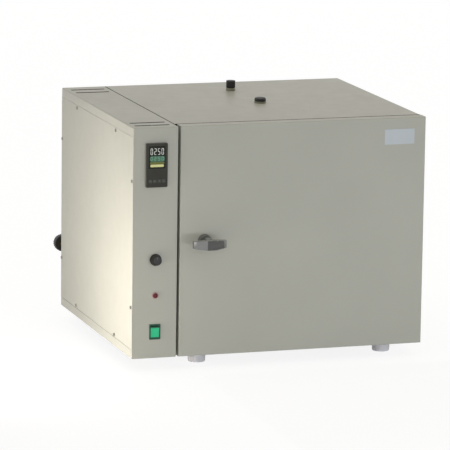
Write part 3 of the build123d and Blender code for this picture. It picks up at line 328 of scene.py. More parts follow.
@dataclass(frozen=True)
class Polished:
    """Bright plated metal with faint wipe marks."""

    name: str
    colour: Colour
    roughness: float = 0.14

    def material(self) -> Material:
        """Build the plating's material."""
        bench = MaterialBench(self.name)
        smears = bench.noise(60.0, 5.0, bench.stretched((1.0, 1.0, 3.0)))
        bench.two_tone(smears, shade(self.colour, 0.97), shade(self.colour, 1.02))
        bench.rough(smears, self.roughness - 0.04, self.roughness + 0.08)
        bench.bump(bench.noise(700.0, 2.0), 0.08, 0.00003)
        bench.shader.inputs["Metallic"].default_value = 1.0
        return bench.material


@dataclass(frozen=True)
class Moulded:
    """Injection-moulded plastic or rubber with a fine grain."""

    name: str
    colour: Colour
    roughness: float = 0.45
    grain: float = 1400.0
    depth: float = 0.00005

    def material(self) -> Material:
        """Build the plastic's material."""
        bench = MaterialBench(self.name)
        bench.two_tone(bench.noise(45.0, 4.0), shade(self.colour, 0.92), shade(self.colour, 1.08))
        texture = bench.noise(self.grain, 2.0)
        bench.rough(texture, self.roughness - 0.05, self.roughness + 0.06)
        bench.bump(texture, 0.3, self.depth)
        return bench.material


@dataclass(frozen=True)
class Fibre:
    """Blown ceramic wool pressed to a blanket."""

    name: str
    colour: Colour

    def material(self) -> Material:
        """Build the blanket's material."""
        bench = MaterialBench(self.name)
        strands = bench.noise(160.0, 8.0, bench.stretched((1.0, 3.0, 1.0)))
        bench.two_tone(strands, shade(self.colour, 0.8), shade(self.colour, 1.1))
        bench.bump(strands, 0.8, 0.002)
        bench.shader.inputs["Roughness"].default_value = 0.95
        return bench.material


@dataclass(frozen=True)
class Lit:
    """Plastic that glows from behind; on printed marks the glow is painted light."""

    name: str
    colour: Colour
    strength: float = 0.6
    roughness: float = 0.3

    def material(self) -> Material:
        """Build the glowing material."""
        bench = MaterialBench(self.name)
        bench.two_tone(bench.noise(120.0, 2.0), shade(self.colour, 0.94), shade(self.colour, 1.05))
        bench.shader.inputs["Roughness"].default_value = self.roughness
        bench.glow(self.colour, self.strength)
        return bench.material


@dataclass(frozen=True)
class LitBand:
    """Translucent plastic that glows between two heights; its darker ends beyond them are painted
    shade.

    The glow is 1 while |z - middle| is under half the band, and falls to 0 over the fade.
    """

    name: str
    colour: Colour
    shaded_end_colour: Colour
    low: float
    high: float
    fade: float = 0.6 * MM
    strength: float = 0.34
    roughness: float = 0.3

    def material(self) -> Material:
        """Build the glowing material with its darker ends of painted shade."""
        bench = MaterialBench(self.name)
        split = bench.node("ShaderNodeSeparateXYZ")
        bench.link(bench.coordinates, split.inputs["Vector"])
        offset = bench.math("SUBTRACT", split.outputs["Z"], (self.low + self.high) / 2)
        half = (self.high - self.low) / 2
        glow = bench.ranged(bench.math("ABSOLUTE", offset), (half, half + self.fade), (1.0, 0.0))
        bench.two_tone(glow, self.shaded_end_colour, self.colour)
        bench.shader.inputs["Roughness"].default_value = self.roughness
        bench.glow(self.colour, bench.math("MULTIPLY", glow, self.strength))
        return bench.material


Finish = Paint | BrushedMetal | Polished | Moulded | Fibre | Lit | LitBand

CABINET_PAINT = Paint("cabinet_paint", (0.462, 0.462, 0.415))
BADGE_PAINT = Paint("badge_plate_finish", (0.53, 0.57, 0.61), 0.34, 700.0)
FRAME_STEEL = BrushedMetal("frame_steel", (0.55, 0.55, 0.54), 0.34)
VESSEL_STEEL = BrushedMetal("vessel_steel", (0.62, 0.62, 0.61), 0.28, (900.0, 12.0, 900.0))
SHELF_STEEL = BrushedMetal("shelf_steel", (0.66, 0.66, 0.65), 0.26)
ZINC = BrushedMetal("zinc_plate", (0.52, 0.52, 0.53), 0.36, (300.0, 300.0, 300.0), 0.00002)
TUBE_STEEL = BrushedMetal("tube_steel", (0.6, 0.6, 0.6), 0.25, (400.0, 400.0, 60.0), 0.00002)
BRASS = BrushedMetal("valve_brass", (0.62, 0.45, 0.2), 0.28, (200.0, 40.0, 200.0), 0.00003)
EXTRUSION = BrushedMetal("heatsink_aluminium", (0.6, 0.6, 0.62), 0.4, (500.0, 500.0, 10.0))
CHROME = Polished("handle_chrome", (0.42, 0.42, 0.41), 0.2)
# The bush is the handle's chrome made darker: painted shade for the dark patch round the hub.
SHADED_BUSH_CHROME = Polished("bush_chrome_painted_shade", (0.3, 0.3, 0.29), 0.34)
SCREW_STEEL = BrushedMetal("screw_steel", (0.34, 0.32, 0.28), 0.4, (300.0, 300.0, 300.0), 0.00002)
PORT_BRONZE = BrushedMetal("port_bronze", (0.24, 0.24, 0.18), 0.5, (60.0, 60.0, 600.0), 0.00002)
BLACK_PLASTIC = Moulded("black_plastic", (0.009, 0.008, 0.007), 0.5)
KNOB_FACE = Moulded("knob_face_plastic", (0.05, 0.052, 0.052), 0.42)
BEZEL_PLASTIC = Moulded("bezel_plastic", (0.043, 0.042, 0.034), 0.42)
LAMP_RING = Moulded("lamp_ring_plastic", (0.42, 0.27, 0.26), 0.4)
# Black strips laid in the door gap and in the column seam: painted shade for those dark gaps.
GROOVE_SHADE_BLACK = Moulded("groove_painted_shade", (0.012, 0.011, 0.009), 0.8, 500.0)
# Black strips in the column's vent slots: painted shade for the dark inside of the slots.
SLOT_SHADE_BLACK = Moulded("vent_slot_painted_shade", (0.014, 0.012, 0.01), 0.8, 1800.0, 0.0003)
KEY_PLASTIC = Moulded("key_plastic", (0.075, 0.078, 0.07), 0.5)
WINDOW_PLASTIC = Moulded("display_window", (0.028, 0.029, 0.025), 0.16, 300.0, 0.00001)
BOARD_PLASTIC = Moulded("circuit_board", (0.02, 0.16, 0.07), 0.3, 200.0)
FOOT_PLASTIC = Moulded("foot_plastic", (0.82, 0.81, 0.86), 0.5)
SWITCH_PLASTIC = Moulded("switch_frame_plastic", (0.024, 0.1, 0.062), 0.35)
GASKET_RUBBER = Moulded("gasket_silicone", (0.5, 0.13, 0.08), 0.6, 500.0, 0.0001)
HEATER_RUBBER = Moulded("heater_silicone", (0.42, 0.12, 0.06), 0.65, 260.0, 0.0002)
WOOL = Fibre("ceramic_wool", (0.74, 0.71, 0.62))
LAMP_RED = Lit("pilot_lamp_red", (0.1, 0.02, 0.024), 0.1, 0.25)
# The rocker glows as a lit switch; its darker upper and lower ends are painted shade of the tilted
# rocker under its frame.
ROCKER_GREEN = LitBand(
    "rocker_green", (0.024, 0.4, 0.19), (0.03, 0.13, 0.08), 75.4 * MM, 95.6 * MM
)
# The key legends and the knob's pointer are print with no lamp behind them; their faint glow is
# painted light.
MARK_GREY_PAINTED_GLOW = Lit("legend_grey_painted_glow", (0.12, 0.122, 0.11), 0.1, 0.5)
DIGIT_WHITE = Lit("measured_value_digits", (0.5, 0.52, 0.49), 0.42)
DIGIT_GREEN = Lit("set_value_digits", (0.13, 0.27, 0.18), 0.4)
PANEL_TEAL = Lit("set_value_background", (0.045, 0.11, 0.075), 0.5)
BAND_OLIVE = Lit("output_scale", (0.11, 0.12, 0.03), 0.4)
BAR_YELLOW = Lit("output_bar", (0.44, 0.44, 0.2), 0.5)


class FinishShelf:
    """Each finish's material, built the first time that it is asked for."""

    def __init__(self) -> None:
        """Start with no materials."""
        self._materials: dict[str, Material] = {}

    def get(self, finish: Finish) -> Material:
        """The material of a finish.

        Args:
            finish: the finish.

        Returns:
            Its material.
        """
        if finish.name not in self._materials:
            self._materials[finish.name] = finish.material()
        return self._materials[finish.name]


# --- Surfaces -----------------------------------------------------------------------------


@dataclass(frozen=True)
class Skin:
    """A surface through rings of points: ring k, point n is one row of a K x N x 3 array."""

    rings: np.ndarray
    capped: bool = True

    def faces(self, first: int) -> list[list[int]]:
        """Quads between neighbouring rings, and a cap over the first and the last ring.

        Args:
            first: number of the first vertex.

        Returns:
            Vertex numbers of each face.
        """
        count, points, _ = self.rings.shape
        row = np.arange(count - 1)[:, None] * points
        column = np.arange(points)[None, :]
        following = (column + 1) % points
        corners = (row + column, row + following, row + points + following, row + points + column)
        quads = np.stack(corners, axis=-1).reshape(-1, 4) + first
        listed = quads.tolist()
        if self.capped:
            listed.append((np.arange(points)[::-1] + first).tolist())
            listed.append((np.arange(points) + (count - 1) * points + first).tolist())
        return listed


def circle_rings(
    profile: np.ndarray,
    centre: np.ndarray,
    facing: Facing,
    segments: int = 64,
    relief: np.ndarray | None = None,
) -> np.ndarray:
    """Rings of a turned shape: centre + r cos(t) right + r sin(t) up + h out.

    Args:
        profile: K x 2 array of radius and height along the axis, in metres.
        centre: the point on the axis where height is zero.
        facing: the way the axis looks.
        segments: points round the axis.
        relief: K x N array added to the radius, or None.

    Returns:
        K x N x 3 array of points.
    """
    turn = np.linspace(0, 2 * math.pi, segments, endpoint=False)
    radius = np.repeat(profile[:, :1], segments, axis=1)
    if relief is not None:
        radius = radius + relief
    right, up, out = facing.axes
    flat = radius[..., None] * (np.cos(turn)[:, None] * right + np.sin(turn)[:, None] * up)
    return centre + flat + profile[:, 1][:, None, None] * out


def rectangle_rings(
    levels: np.ndarray, centre: np.ndarray, facing: Facing, steps: int = 6
) -> np.ndarray:
    """Rings of round-cornered rectangles stacked along an axis.

    Each ring's corner arc is half width - r + r cos(t), half height - r + r sin(t),
    mirrored to the four quadrants.

    Args:
        levels: K x 4 array of half width, half height, corner radius and height.
        centre: middle of the rectangle where height is zero.
        facing: the way the axis looks.
        steps: points in each corner.

    Returns:
        K x N x 3 array of points.
    """
    arc = np.linspace(0, math.pi / 2, steps)
    quadrant = np.repeat(np.arange(4), steps)
    turn = np.tile(arc, 4) + quadrant * math.pi / 2
    sign_x = np.array([1, -1, -1, 1])[quadrant]
    sign_y = np.array([1, 1, -1, -1])[quadrant]
    half_x, half_y, corner, height = (levels[:, i][:, None] for i in range(4))
    across = sign_x * (half_x - corner) + corner * np.cos(turn)
    upward = sign_y * (half_y - corner) + corner * np.sin(turn)
    right, up, out = facing.axes
    flat = across[..., None] * right + upward[..., None] * up
    return centre + flat + (height * np.ones_like(across))[..., None] * out


def softened(profile: list[tuple[float, float]], radius: float, steps: int = 4) -> np.ndarray:
    """A turned profile with each inner corner rounded by a quadratic curve.

    Between the points a distance before and after a corner, the curve is
    (1-t)^2 start + 2t(1-t) corner + t^2 end.

    Args:
        profile: radius and height of each corner, in metres.
        radius: distance from a corner to the start of its curve.
        steps: points on each curve.

    Returns:
        K x 2 array of radius and height.
    """
    corners = np.array(profile, float)
    before, middle, after = corners[:-2], corners[1:-1], corners[2:]
    back, ahead = before - middle, after - middle
    back_length = np.linalg.norm(back, axis=1, keepdims=True)
    ahead_length = np.linalg.norm(ahead, axis=1, keepdims=True)
    start = middle + back / back_length * np.minimum(radius, back_length / 2.2)
    end = middle + ahead / ahead_length * np.minimum(radius, ahead_length / 2.2)
    t = np.linspace(0, 1, steps)[None, :, None]
    curve = (
        (1 - t) ** 2 * start[:, None] + 2 * t * (1 - t) * middle[:, None] + t**2 * end[:, None]
    )
    return np.vstack([corners[:1], curve.reshape(-1, 2), corners[-1:]])


class Workshop:
    """Makes pieces, dresses them and puts them on their bodies."""

    def __init__(self, frame: dict) -> None:
        """Keep the loaded frame.
        """
        self.nodes: dict[str, bpy.types.Object] = frame["nodes"]
        self.finishes = FinishShelf()

    def dress(self, finish: Finish, *names: str) -> None:
        """Give CAD nodes a finish and soften the shading of their curved faces.

        Args:
            finish: the finish.
            names: the nodes.
        """
        material = self.finishes.get(finish)
        for name in names:
            node = self.nodes[name]
            if not node.material_slots:
                node.data.materials.append(material)
            for slot in node.material_slots:
                slot.material = material
            node.data.polygons.foreach_set("use_smooth", np.ones(len(node.data.polygons), bool))
            weld = node.modifiers.new("joined_faces", "WELD")
            weld.merge_threshold = WELD_REACH
            split = node.modifiers.new("crisp_edges", "EDGE_SPLIT")
            split.split_angle = SHARP_ANGLE
            LOG.info("dressed %s in %s", name, finish.name)

    def piece(
        self,
        name: str,
        skins: list[Skin],
        finish: Finish,
        body: str,
        slot: str,
        replaces: tuple[str, ...] = (),
    ) -> None:
        """Make one piece from skins.

        Args:
            name: the piece's name.
            skins: its closed surfaces.
            finish: its finish.
            body: the body that it moves with.
            slot: the record's material slot; not used.
            replaces: CAD nodes that it stands for.
        """
        mesh = bpy.data.meshes.new(name)
        vertices: list[np.ndarray] = []
        faces: list[list[int]] = []
        first = 0
        for skin in skins:
            points = skin.rings.reshape(-1, 3)
            vertices.append(points)
            faces.extend(skin.faces(first))
            first += len(points)
        mesh.from_pydata(np.vstack(vertices).tolist(), [], faces)
        working = bmesh.new()
        working.from_mesh(mesh)
        bmesh.ops.remove_doubles(working, verts=working.verts, dist=DOUBLE_REACH)
        bmesh.ops.recalc_face_normals(working, faces=working.faces)
        working.to_mesh(mesh)
        working.free()
        mesh.polygons.foreach_set("use_smooth", np.ones(len(mesh.polygons), bool))
        mesh.set_sharp_from_angle(angle=SHARP_ANGLE)
        mesh.materials.append(self.finishes.get(finish))
        made = bpy.data.objects.new(name, mesh)
        bpy.context.scene.collection.objects.link(made)
        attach(made, body)
        if replaces:
            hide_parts(*replaces)
        LOG.info("made %s in %s on %s", name, finish.name, body)


def span(node: str) -> tuple[np.ndarray, np.ndarray, np.ndarray]:
    """Low corner, high corner and middle of a CAD node."""
    low, high = (np.array(corner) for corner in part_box(node))
    return low, high, (low + high) / 2


# --- Sub-assemblies -----------------------------------------------------------------------


@dataclass
class Casing:
    """Folded panels, feet and screws round the vessel."""

    shop: Workshop
    foot_top: float = 21.0 * MM
    foot_tip: float = 19.0 * MM
    foot_height: float = 28.0 * MM
    foot_recess: float = 12.0 * MM
    foot_recess_depth: float = 2.0 * MM
    # Sizes of the black strip behind the door edge, which is painted shade for the gap.
    gap_shade_front: float = 1.7 * MM
    gap_shade_back: float = 1.6 * MM
    gap_shade_depth: float = 4.0 * MM
    gap_shade_proud: float = 0.25 * MM
    gap_shade_outer_corner: float = 2.6 * MM
    gap_shade_inner_corner: float = 1.0 * MM

    def build(self) -> None:
        """Dress the panels and turn the feet."""
        self.shop.dress(
            CABINET_PAINT, "top_cover", "base_pan", "left_panel", "right_panel", "rear_cover"
        )
        self.shop.dress(FRAME_STEEL, "front_frame", "latch_keeper")
        self.shop.dress(ZINC, "vessel_supports")
        self.shop.dress(SCREW_STEEL, "cabinet_screws")
        self._feet()
        self._door_gap_shade()

    def _door_gap_shade(self) -> None:
        """Run a black strip round the casing's front edge, behind the door: painted shade for the
        door gap.
        """
        low, high, _ = span("top_cover")
        bottom = span("base_pan")[0][2]
        half_x = (high[0] - low[0]) / 2 + self.gap_shade_proud
        half_z = (high[2] - bottom) / 2 + self.gap_shade_proud
        front, back, depth = self.gap_shade_front, -self.gap_shade_back, self.gap_shade_depth
        outer = (half_x, half_z, self.gap_shade_outer_corner)
        inner = (half_x - depth, half_z - depth, self.gap_shade_inner_corner)
        levels = np.array(
            [(*outer, back), (*outer, front), (*inner, front), (*inner, back), (*outer, back)]
        )
        centre = np.array([(low[0] + high[0]) / 2, low[1], (high[2] + bottom) / 2])
        rings = rectangle_rings(levels, centre, Facing.FRONT, 5)
        self.shop.piece(
            "door_gap_shade_strip", [Skin(rings, capped=False)], GROOVE_SHADE_BLACK, "cabinet", "silicone"
        )

    def _feet(self) -> None:
        """Turn four tapered feet with a soft lower edge and a shallow moulded recess."""
        low, high, _ = span("feet")
        profile = softened(
            [
                (0.4 * MM, 0.0),
                (self.foot_top, 0.0),
                (self.foot_tip, -self.foot_height),
                (self.foot_recess, -self.foot_height),
                (self.foot_recess - 1.0 * MM, -self.foot_height + self.foot_recess_depth),
                (0.4 * MM, -self.foot_height + self.foot_recess_depth),
            ],
            1.6 * MM,
        )
        skins = []
        for x in (low[0] + self.foot_top, high[0] - self.foot_top):
            for y in (low[1] + self.foot_top, high[1] - self.foot_top):
                seat = np.array([x, y, self.foot_height])
                skins.append(Skin(circle_rings(profile, seat, Facing.TOP, 72)))
        self.shop.piece("tapered_feet", skins, FOOT_PLASTIC, "cabinet", "foot_plastic", ("feet",))


@dataclass
class Chamber:
    """Welded vessel with its rails, shelves, probe, heaters and wool."""

    shop: Workshop

    def build(self) -> None:
        """Dress the vessel and all that lies in it and round it."""
        self.shop.dress(VESSEL_STEEL, "chamber_vessel")
        self.shop.dress(SHELF_STEEL, "shelf_rails", "shelf_lower", "shelf_upper")
        self.shop.dress(TUBE_STEEL, "temperature_probe", "vent_pipe", "vacuum_line")
        self.shop.dress(HEATER_RUBBER, "side_heaters")
        self.shop.dress(WOOL, "insulation")


@dataclass
class TopPorts:
    """Access port with its cap, and the vent valve behind it."""

    shop: Workshop
    plug_radius: float = 5.2 * MM
    cap_height: float = 8.0 * MM
    knob_radius: float = 10.5 * MM
    knob_height: float = 16.5 * MM
    knob_shank: float = 3.0 * MM
    flutes: int = 18
    flute_depth: float = 0.7 * MM

    def build(self) -> None:
        """Dress the metal parts and turn the cap and the knob."""
        self.shop.dress(PORT_BRONZE, "port_neck", "vent_valve_collar")
        self._cap()
        self._vent_knob()

    def _cap(self) -> None:
        """Turn the black cap with its plug, its face recessed inside a rim."""
        low, high, middle = span("port_cap")
        radius = (high[0] - low[0]) / 2
        top = high[2]
        seat = top - self.cap_height
        profile = softened(
            [
                (0.3 * MM, low[2]),
                (self.plug_radius, low[2]),
                (self.plug_radius, seat),
                (radius, seat),
                (radius, seat + 4.6 * MM),
                (radius - 1.6 * MM, top - 0.3 * MM),
                (radius - 5.0 * MM, top - 0.3 * MM),
                (radius - 5.6 * MM, top - 0.9 * MM),
                (0.3 * MM, top - 0.9 * MM),
            ],
            0.8 * MM,
        )
        axis = np.array([middle[0], middle[1], 0.0])
        rings = circle_rings(profile, axis, Facing.TOP, 96)
        self.shop.piece(
            "access_cap_body", [Skin(rings)], BLACK_PLASTIC, "access_cap", "black_plastic",
            ("port_cap",),
        )

    def _vent_knob(self) -> None:
        """Turn the vent knob with its fluted grip."""
        low, high, middle = span("vent_knob")
        radius, shank = self.knob_radius, self.knob_shank
        top = high[2]
        seat = top - self.knob_height
        profile = softened(
            [
                (shank, low[2]),
                (shank, seat),
                (radius, seat),
                (radius, top),
                (radius - 4.0 * MM, top),
                (radius - 4.4 * MM, top - 0.5 * MM),
                (0.3 * MM, top - 0.5 * MM),
            ],
            1.0 * MM,
        )
        relief = fluting(profile, radius, self.flutes, self.flute_depth, 96)
        axis = np.array([middle[0], middle[1], 0.0])
        rings = circle_rings(profile, axis, Facing.TOP, 96, relief)
        self.shop.piece(
            "vent_knob_body", [Skin(rings)], BLACK_PLASTIC, "vent_control", "black_plastic",
            ("vent_knob",),
        )


def hollows(count: int, segments: int) -> np.ndarray:
    """A wave round an axis, 1 in the middle of each hollow: ((1 + cos(n t)) / 2)^2."""
    turn = np.linspace(0, 2 * math.pi, segments, endpoint=False)
    return ((1 + np.cos(count * turn)) / 2) ** 2


def fluting(
    profile: np.ndarray, radius: float, flutes: int, depth: float, segments: int
) -> np.ndarray:
    """Radial relief of a grip: -depth times the hollows where the profile is at full radius.

    Args:
        profile: K x 2 array of radius and height.
        radius: full radius of the grip.
        flutes: number of hollows.
        depth: depth of a hollow.
        segments: points round the axis.

    Returns:
        K x N array to add to the radius.
    """
    weight = np.clip((profile[:, 0] - radius * 0.93) / (radius * 0.07), 0, 1)
    return -depth * weight[:, None] * hollows(flutes, segments)[None, :]


@dataclass
class VacuumValve:
    """Brass valve behind the column, with its ribbed hand-wheel."""

    shop: Workshop
    wheel_radius: float = 19.5 * MM
    wheel_thickness: float = 18.0 * MM
    wheel_shank: float = 3.0 * MM
    wheel_bevel: float = 1.5 * MM
    dish_radius: float = 9.0 * MM
    dish_depth: float = 1.2 * MM
    ribs: int = 24
    rib_depth: float = 1.2 * MM

    def build(self) -> None:
        """Dress the body and turn the hand-wheel."""
        self.shop.dress(BRASS, "vacuum_valve")
        low, high, middle = span("vacuum_valve_knob")
        radius, thickness = self.wheel_radius, self.wheel_thickness
        shank, bevel, dish = self.wheel_shank, self.wheel_bevel, self.dish_radius
        face = high[1]
        profile = softened(
            [
                (shank, face - low[1]),
                (shank, thickness),
                (radius - bevel, thickness),
                (radius, thickness - bevel),
                (radius, bevel),
                (radius - bevel, 0.0),
                (dish, 0.0),
                (dish - 1.0 * MM, self.dish_depth),
                (0.4 * MM, self.dish_depth),
            ],
            0.8 * MM,
        )
        relief = fluting(profile, radius, self.ribs, self.rib_depth, 192)
        profile = profile * np.array([1.0, -1.0])
        axis = np.array([middle[0], face, middle[2]])
        rings = circle_rings(profile, axis, Facing.BACK, 192, relief)
        self.shop.piece(
            "hand_wheel", [Skin(rings)], BLACK_PLASTIC, "vacuum_control", "black_plastic",
            ("vacuum_valve_knob",),
        )


@dataclass
class ControlColumn:
    """Column on the left with the controller, limiter knob, pilot lamp and power switch."""

    shop: Workshop
    digit_pitch: float = 8.2 * MM
    digit_width: float = 5.2 * MM
    stroke: float = 1.25 * MM
    measured_level: float = 12.4 * MM
    measured_height: float = 14.0 * MM
    wanted_level: float = -3.2 * MM
    wanted_height: float = 8.0 * MM
    # Centre x, centre z, width and height, from the middle of the window.
    wanted_field: Bar = (0.6 * MM, -3.6 * MM, 33.0 * MM, 12.4 * MM)
    scale_field: Bar = (0.3 * MM, -12.6 * MM, 32.0 * MM, 4.6 * MM)
    output_field: Bar = (0.0, -18.6 * MM, 30.0 * MM, 5.6 * MM)
    bar_side: float = 0.12 * MM
    bar_height: float = 0.16 * MM
    bar_bevel: float = 0.05 * MM
    mark_radius: float = 1.9 * MM
    mark_hole: float = 1.2 * MM
    mark_height: float = 0.1 * MM
    dial_skirt: float = 13.0 * MM
    dial_tip: float = 10.5 * MM
    dial_height: float = 15.0 * MM
    dial_shank: float = 3.0 * MM
    dial_hub: float = 5.5 * MM
    dial_hub_depth: float = 4.0 * MM
    dial_gap: float = 0.4 * MM
    dial_flutes: int = 20
    dial_flute_depth: float = 0.35 * MM
    lens_seat: float = 1.0 * MM
    lens_wall: float = 1.9 * MM
    lens_height: float = 4.3 * MM
    lens_fall: float = 2.2 * MM
    lens_rings: int = 4
    lens_ring_height: float = 0.07 * MM
    # Inset from the front edge, or from the rear edge where negative, and whether it is bridged.
    slot_rows: tuple[tuple[float, bool], ...] = (
        (27.0 * MM, True),
        (63.0 * MM, False),
        (-41.0 * MM, True),
        (-82.0 * MM, False),
    )
    slot_left: float = 12.0 * MM
    slot_right: float = 14.5 * MM
    slot_width: float = 6.0 * MM
    slot_bridge: float = 4.0 * MM
    # Sizes of the black strips in the vent slots, which are painted shade.
    slot_shade_play: float = 0.1 * MM
    slot_shade_reach: float = 1.4 * MM
    slot_shade_lift: float = 0.02 * MM
    slot_shade_flange: float = 1.6 * MM
    slot_shade_corner: float = 0.8 * MM
    slot_shade_height: float = 0.22 * MM
    # Sizes of the black strip in the column seam, which is painted shade.
    seam_shade_width: float = 3.2 * MM
    seam_shade_depth: float = 0.4 * MM
    seam_shade_height: float = 1.0 * MM
    seam_shade_end_gap: float = 1.5 * MM
    seam_shade_corner: float = 0.2 * MM
    measured: str = "0250"
    wanted: str = "0250"
    segments_of: dict[str, str] = field(
        default_factory=lambda: {"0": "abcdef", "2": "abged", "5": "afgcd"}
    )

    def build(self) -> None:
        """Dress the sheet metal and make each control."""
        self.shop.dress(CABINET_PAINT, "column_shell", "side_cover")
        self.shop.dress(
            BLACK_PLASTIC, "controller_case", "limiter_thermostat", "heater_relay",
            "terminal_block", "mains_inlet",
        )
        self.shop.dress(EXTRUSION, "heatsink")
        self.shop.dress(BOARD_PLASTIC, "controller_board")
        self.shop.dress(BEZEL_PLASTIC, "controller_bezel")
        self.shop.dress(WINDOW_PLASTIC, "controller_window")
        self.shop.dress(KEY_PLASTIC, "key_1", "key_2", "key_3", "key_4")
        self.shop.dress(SWITCH_PLASTIC, "switch_frame")
        self.shop.dress(ROCKER_GREEN, "switch_rocker")
        self.shop.dress(LAMP_RING, "lamp_bezel")
        self._vent_slot_shade()
        self._seam_shade()
        self._display()
        self._key_legends()
        self._limiter_knob()
        self._lamp_lens()

    def _vent_slot_shade(self) -> None:
        """Fill each slot with a black strip, whose flange lies on the sheet: painted shade for the
        slots.
        """
        low, high, _ = span("column_shell")
        skins = []
        for inset, split in self.slot_rows:
            y = low[1] + inset if inset > 0 else high[1] + inset
            left, right = low[0] + self.slot_left, high[0] - self.slot_right
            runs = [(left, right)]
            if split:
                middle, half_bridge = (left + right) / 2, self.slot_bridge / 2
                runs = [(left, middle - half_bridge), (middle + half_bridge, right)]
            for start, end in runs:
                inside = np.array([(end - start) / 2, self.slot_width / 2]) - self.slot_shade_play
                flange = inside + self.slot_shade_flange
                levels = np.array(
                    [
                        (*inside, self.slot_shade_play, -self.slot_shade_reach),
                        (*inside, self.slot_shade_play, self.slot_shade_lift),
                        (*flange, self.slot_shade_corner, self.slot_shade_lift),
                        (*flange, self.slot_shade_corner, self.slot_shade_height),
                    ]
                )
                centre = np.array([(start + end) / 2, y, high[2]])
                skins.append(Skin(rectangle_rings(levels, centre, Facing.TOP, 2)))
        self.shop.piece("vent_slot_shade_strips", skins, SLOT_SHADE_BLACK, "cabinet", "black_plastic")

    def _seam_shade(self) -> None:
        """Lay a black strip in the groove between the column and the casing: painted shade for the
        seam.
        """
        _, column_high, _ = span("column_shell")
        casing_low, casing_high, _ = span("top_cover")
        x = (column_high[0] + casing_low[0]) / 2
        half_run = (casing_high[1] - casing_low[1]) / 2 - self.seam_shade_end_gap
        y = (casing_high[1] + casing_low[1]) / 2
        wide, narrow = self.seam_shade_width / 2, self.seam_shade_width / 4
        top, corner = -self.seam_shade_depth, self.seam_shade_corner
        levels = np.array(
            [
                (narrow, half_run, corner, top - self.seam_shade_height),
                (wide, half_run, corner, top - corner),
                (wide - corner, half_run, corner, top),
            ]
        )
        centre = np.array([x, y, column_high[2]])
        rings = rectangle_rings(levels, centre, Facing.TOP, 2)
        self.shop.piece("column_seam_shade_strip", [Skin(rings)], GROOVE_SHADE_BLACK, "cabinet", "silicone")

    def _bars(self, boxes: list[Bar], centre: np.ndarray) -> list[Skin]:
        """Thin raised bars on a face.

        Args:
            boxes: centre x, centre z, width and height of each, from the face's centre.
            centre: centre of the face.

        Returns:
            A skin for each bar.
        """
        skins = []
        for x, z, width, height in boxes:
            corner = min(width, height) * 0.3
            half = np.array([width / 2, height / 2])
            levels = np.array(
                [
                    (*half, corner, 0.0),
                    (*half, corner, self.bar_side),
                    (*(half - self.bar_bevel), corner * 0.9, self.bar_height),
                ]
            )
            place = centre + np.array([x, 0.0, z])
            skins.append(Skin(rectangle_rings(levels, place, Facing.FRONT, 3)))
        return skins

    def _digit(self, digit: str, x: float, z: float, height: float) -> list[Bar]:
        """The lit bars of one seven-segment digit.

        Args:
            digit: the figure.
            x: centre of the digit from the face's centre.
            z: centre of the digit from the face's centre.
            height: height of the digit.

        Returns:
            Centre x, centre z, width and height of each bar.
        """
        half_w, half_h, stroke = self.digit_width / 2, height / 2, self.stroke
        across = self.digit_width - stroke * 1.1
        along = half_h - stroke * 1.1
        edge_x, edge_z = half_w - stroke / 2, half_h - stroke / 2
        bars = {
            "a": (x, z + edge_z, across, stroke),
            "d": (x, z - edge_z, across, stroke),
            "g": (x, z, across, stroke),
            "f": (x - edge_x, z + edge_z / 2, stroke, along),
            "b": (x + edge_x, z + edge_z / 2, stroke, along),
            "e": (x - edge_x, z - edge_z / 2, stroke, along),
            "c": (x + edge_x, z - edge_z / 2, stroke, along),
        }
        return [bars[name] for name in self.segments_of[digit]]

    def _display(self) -> None:
        """Two rows of figures, the lower row's tinted background and the output bar."""
        low, _, middle = span("controller_window")
        face = np.array([middle[0], low[1], middle[2]])
        start = -1.5 * self.digit_pitch
        upper, lower = [], []
        for index in range(4):
            x = start + index * self.digit_pitch
            upper += self._digit(
                self.measured[index], x, self.measured_level, self.measured_height
            )
            lower += self._digit(self.wanted[index], x, self.wanted_level, self.wanted_height)
        raised = face - np.array([0.0, 0.1 * MM, 0.0])
        for name, boxes, place, finish in (
            ("set_value_field", [self.wanted_field], face, PANEL_TEAL),
            ("output_scale", [self.scale_field], face, BAND_OLIVE),
            ("measured_value", upper, face, DIGIT_WHITE),
            ("set_value", lower, raised, DIGIT_GREEN),
            ("output_bar", [self.output_field], face, BAR_YELLOW),
        ):
            bars = self._bars(boxes, place)
            self.shop.piece(name, bars, finish, "cabinet", "window_plastic")

    def _key_legends(self) -> None:
        """A plain mark on each key: a ring, a left arrow head, a down and an up arrow head."""
        turns = {"key_2": math.pi, "key_3": -math.pi / 2, "key_4": math.pi / 2}
        arrow_head = np.array([0.0, 2.3, -2.3])
        bodies = ("menu_key", "shift_key", "down_key", "up_key")
        for index, body in enumerate(bodies, start=1):
            node = f"key_{index}"
            low, _, middle = span(node)
            face = np.array([middle[0], low[1] + 0.02 * MM, middle[2]])
            if node in turns:
                turn = arrow_head + turns[node]
                flat = np.stack([np.cos(turn), np.zeros(3), np.sin(turn)], axis=1)
                corners = face + flat * self.mark_radius
                skin = Skin(np.stack([corners, corners - (0.0, self.mark_height, 0.0)]))
            else:
                outer, inner = self.mark_radius, self.mark_hole
                height = self.mark_height
                section = [(outer, 0), (outer, height), (inner, height), (inner, 0), (outer, 0)]
                rings = circle_rings(np.array(section), face, Facing.FRONT, 32)
                skin = Skin(rings, capped=False)
            # The marks' faint glow is painted light.
            self.shop.piece(f"{body}_legend", [skin], MARK_GREY_PAINTED_GLOW, body, "key_plastic")

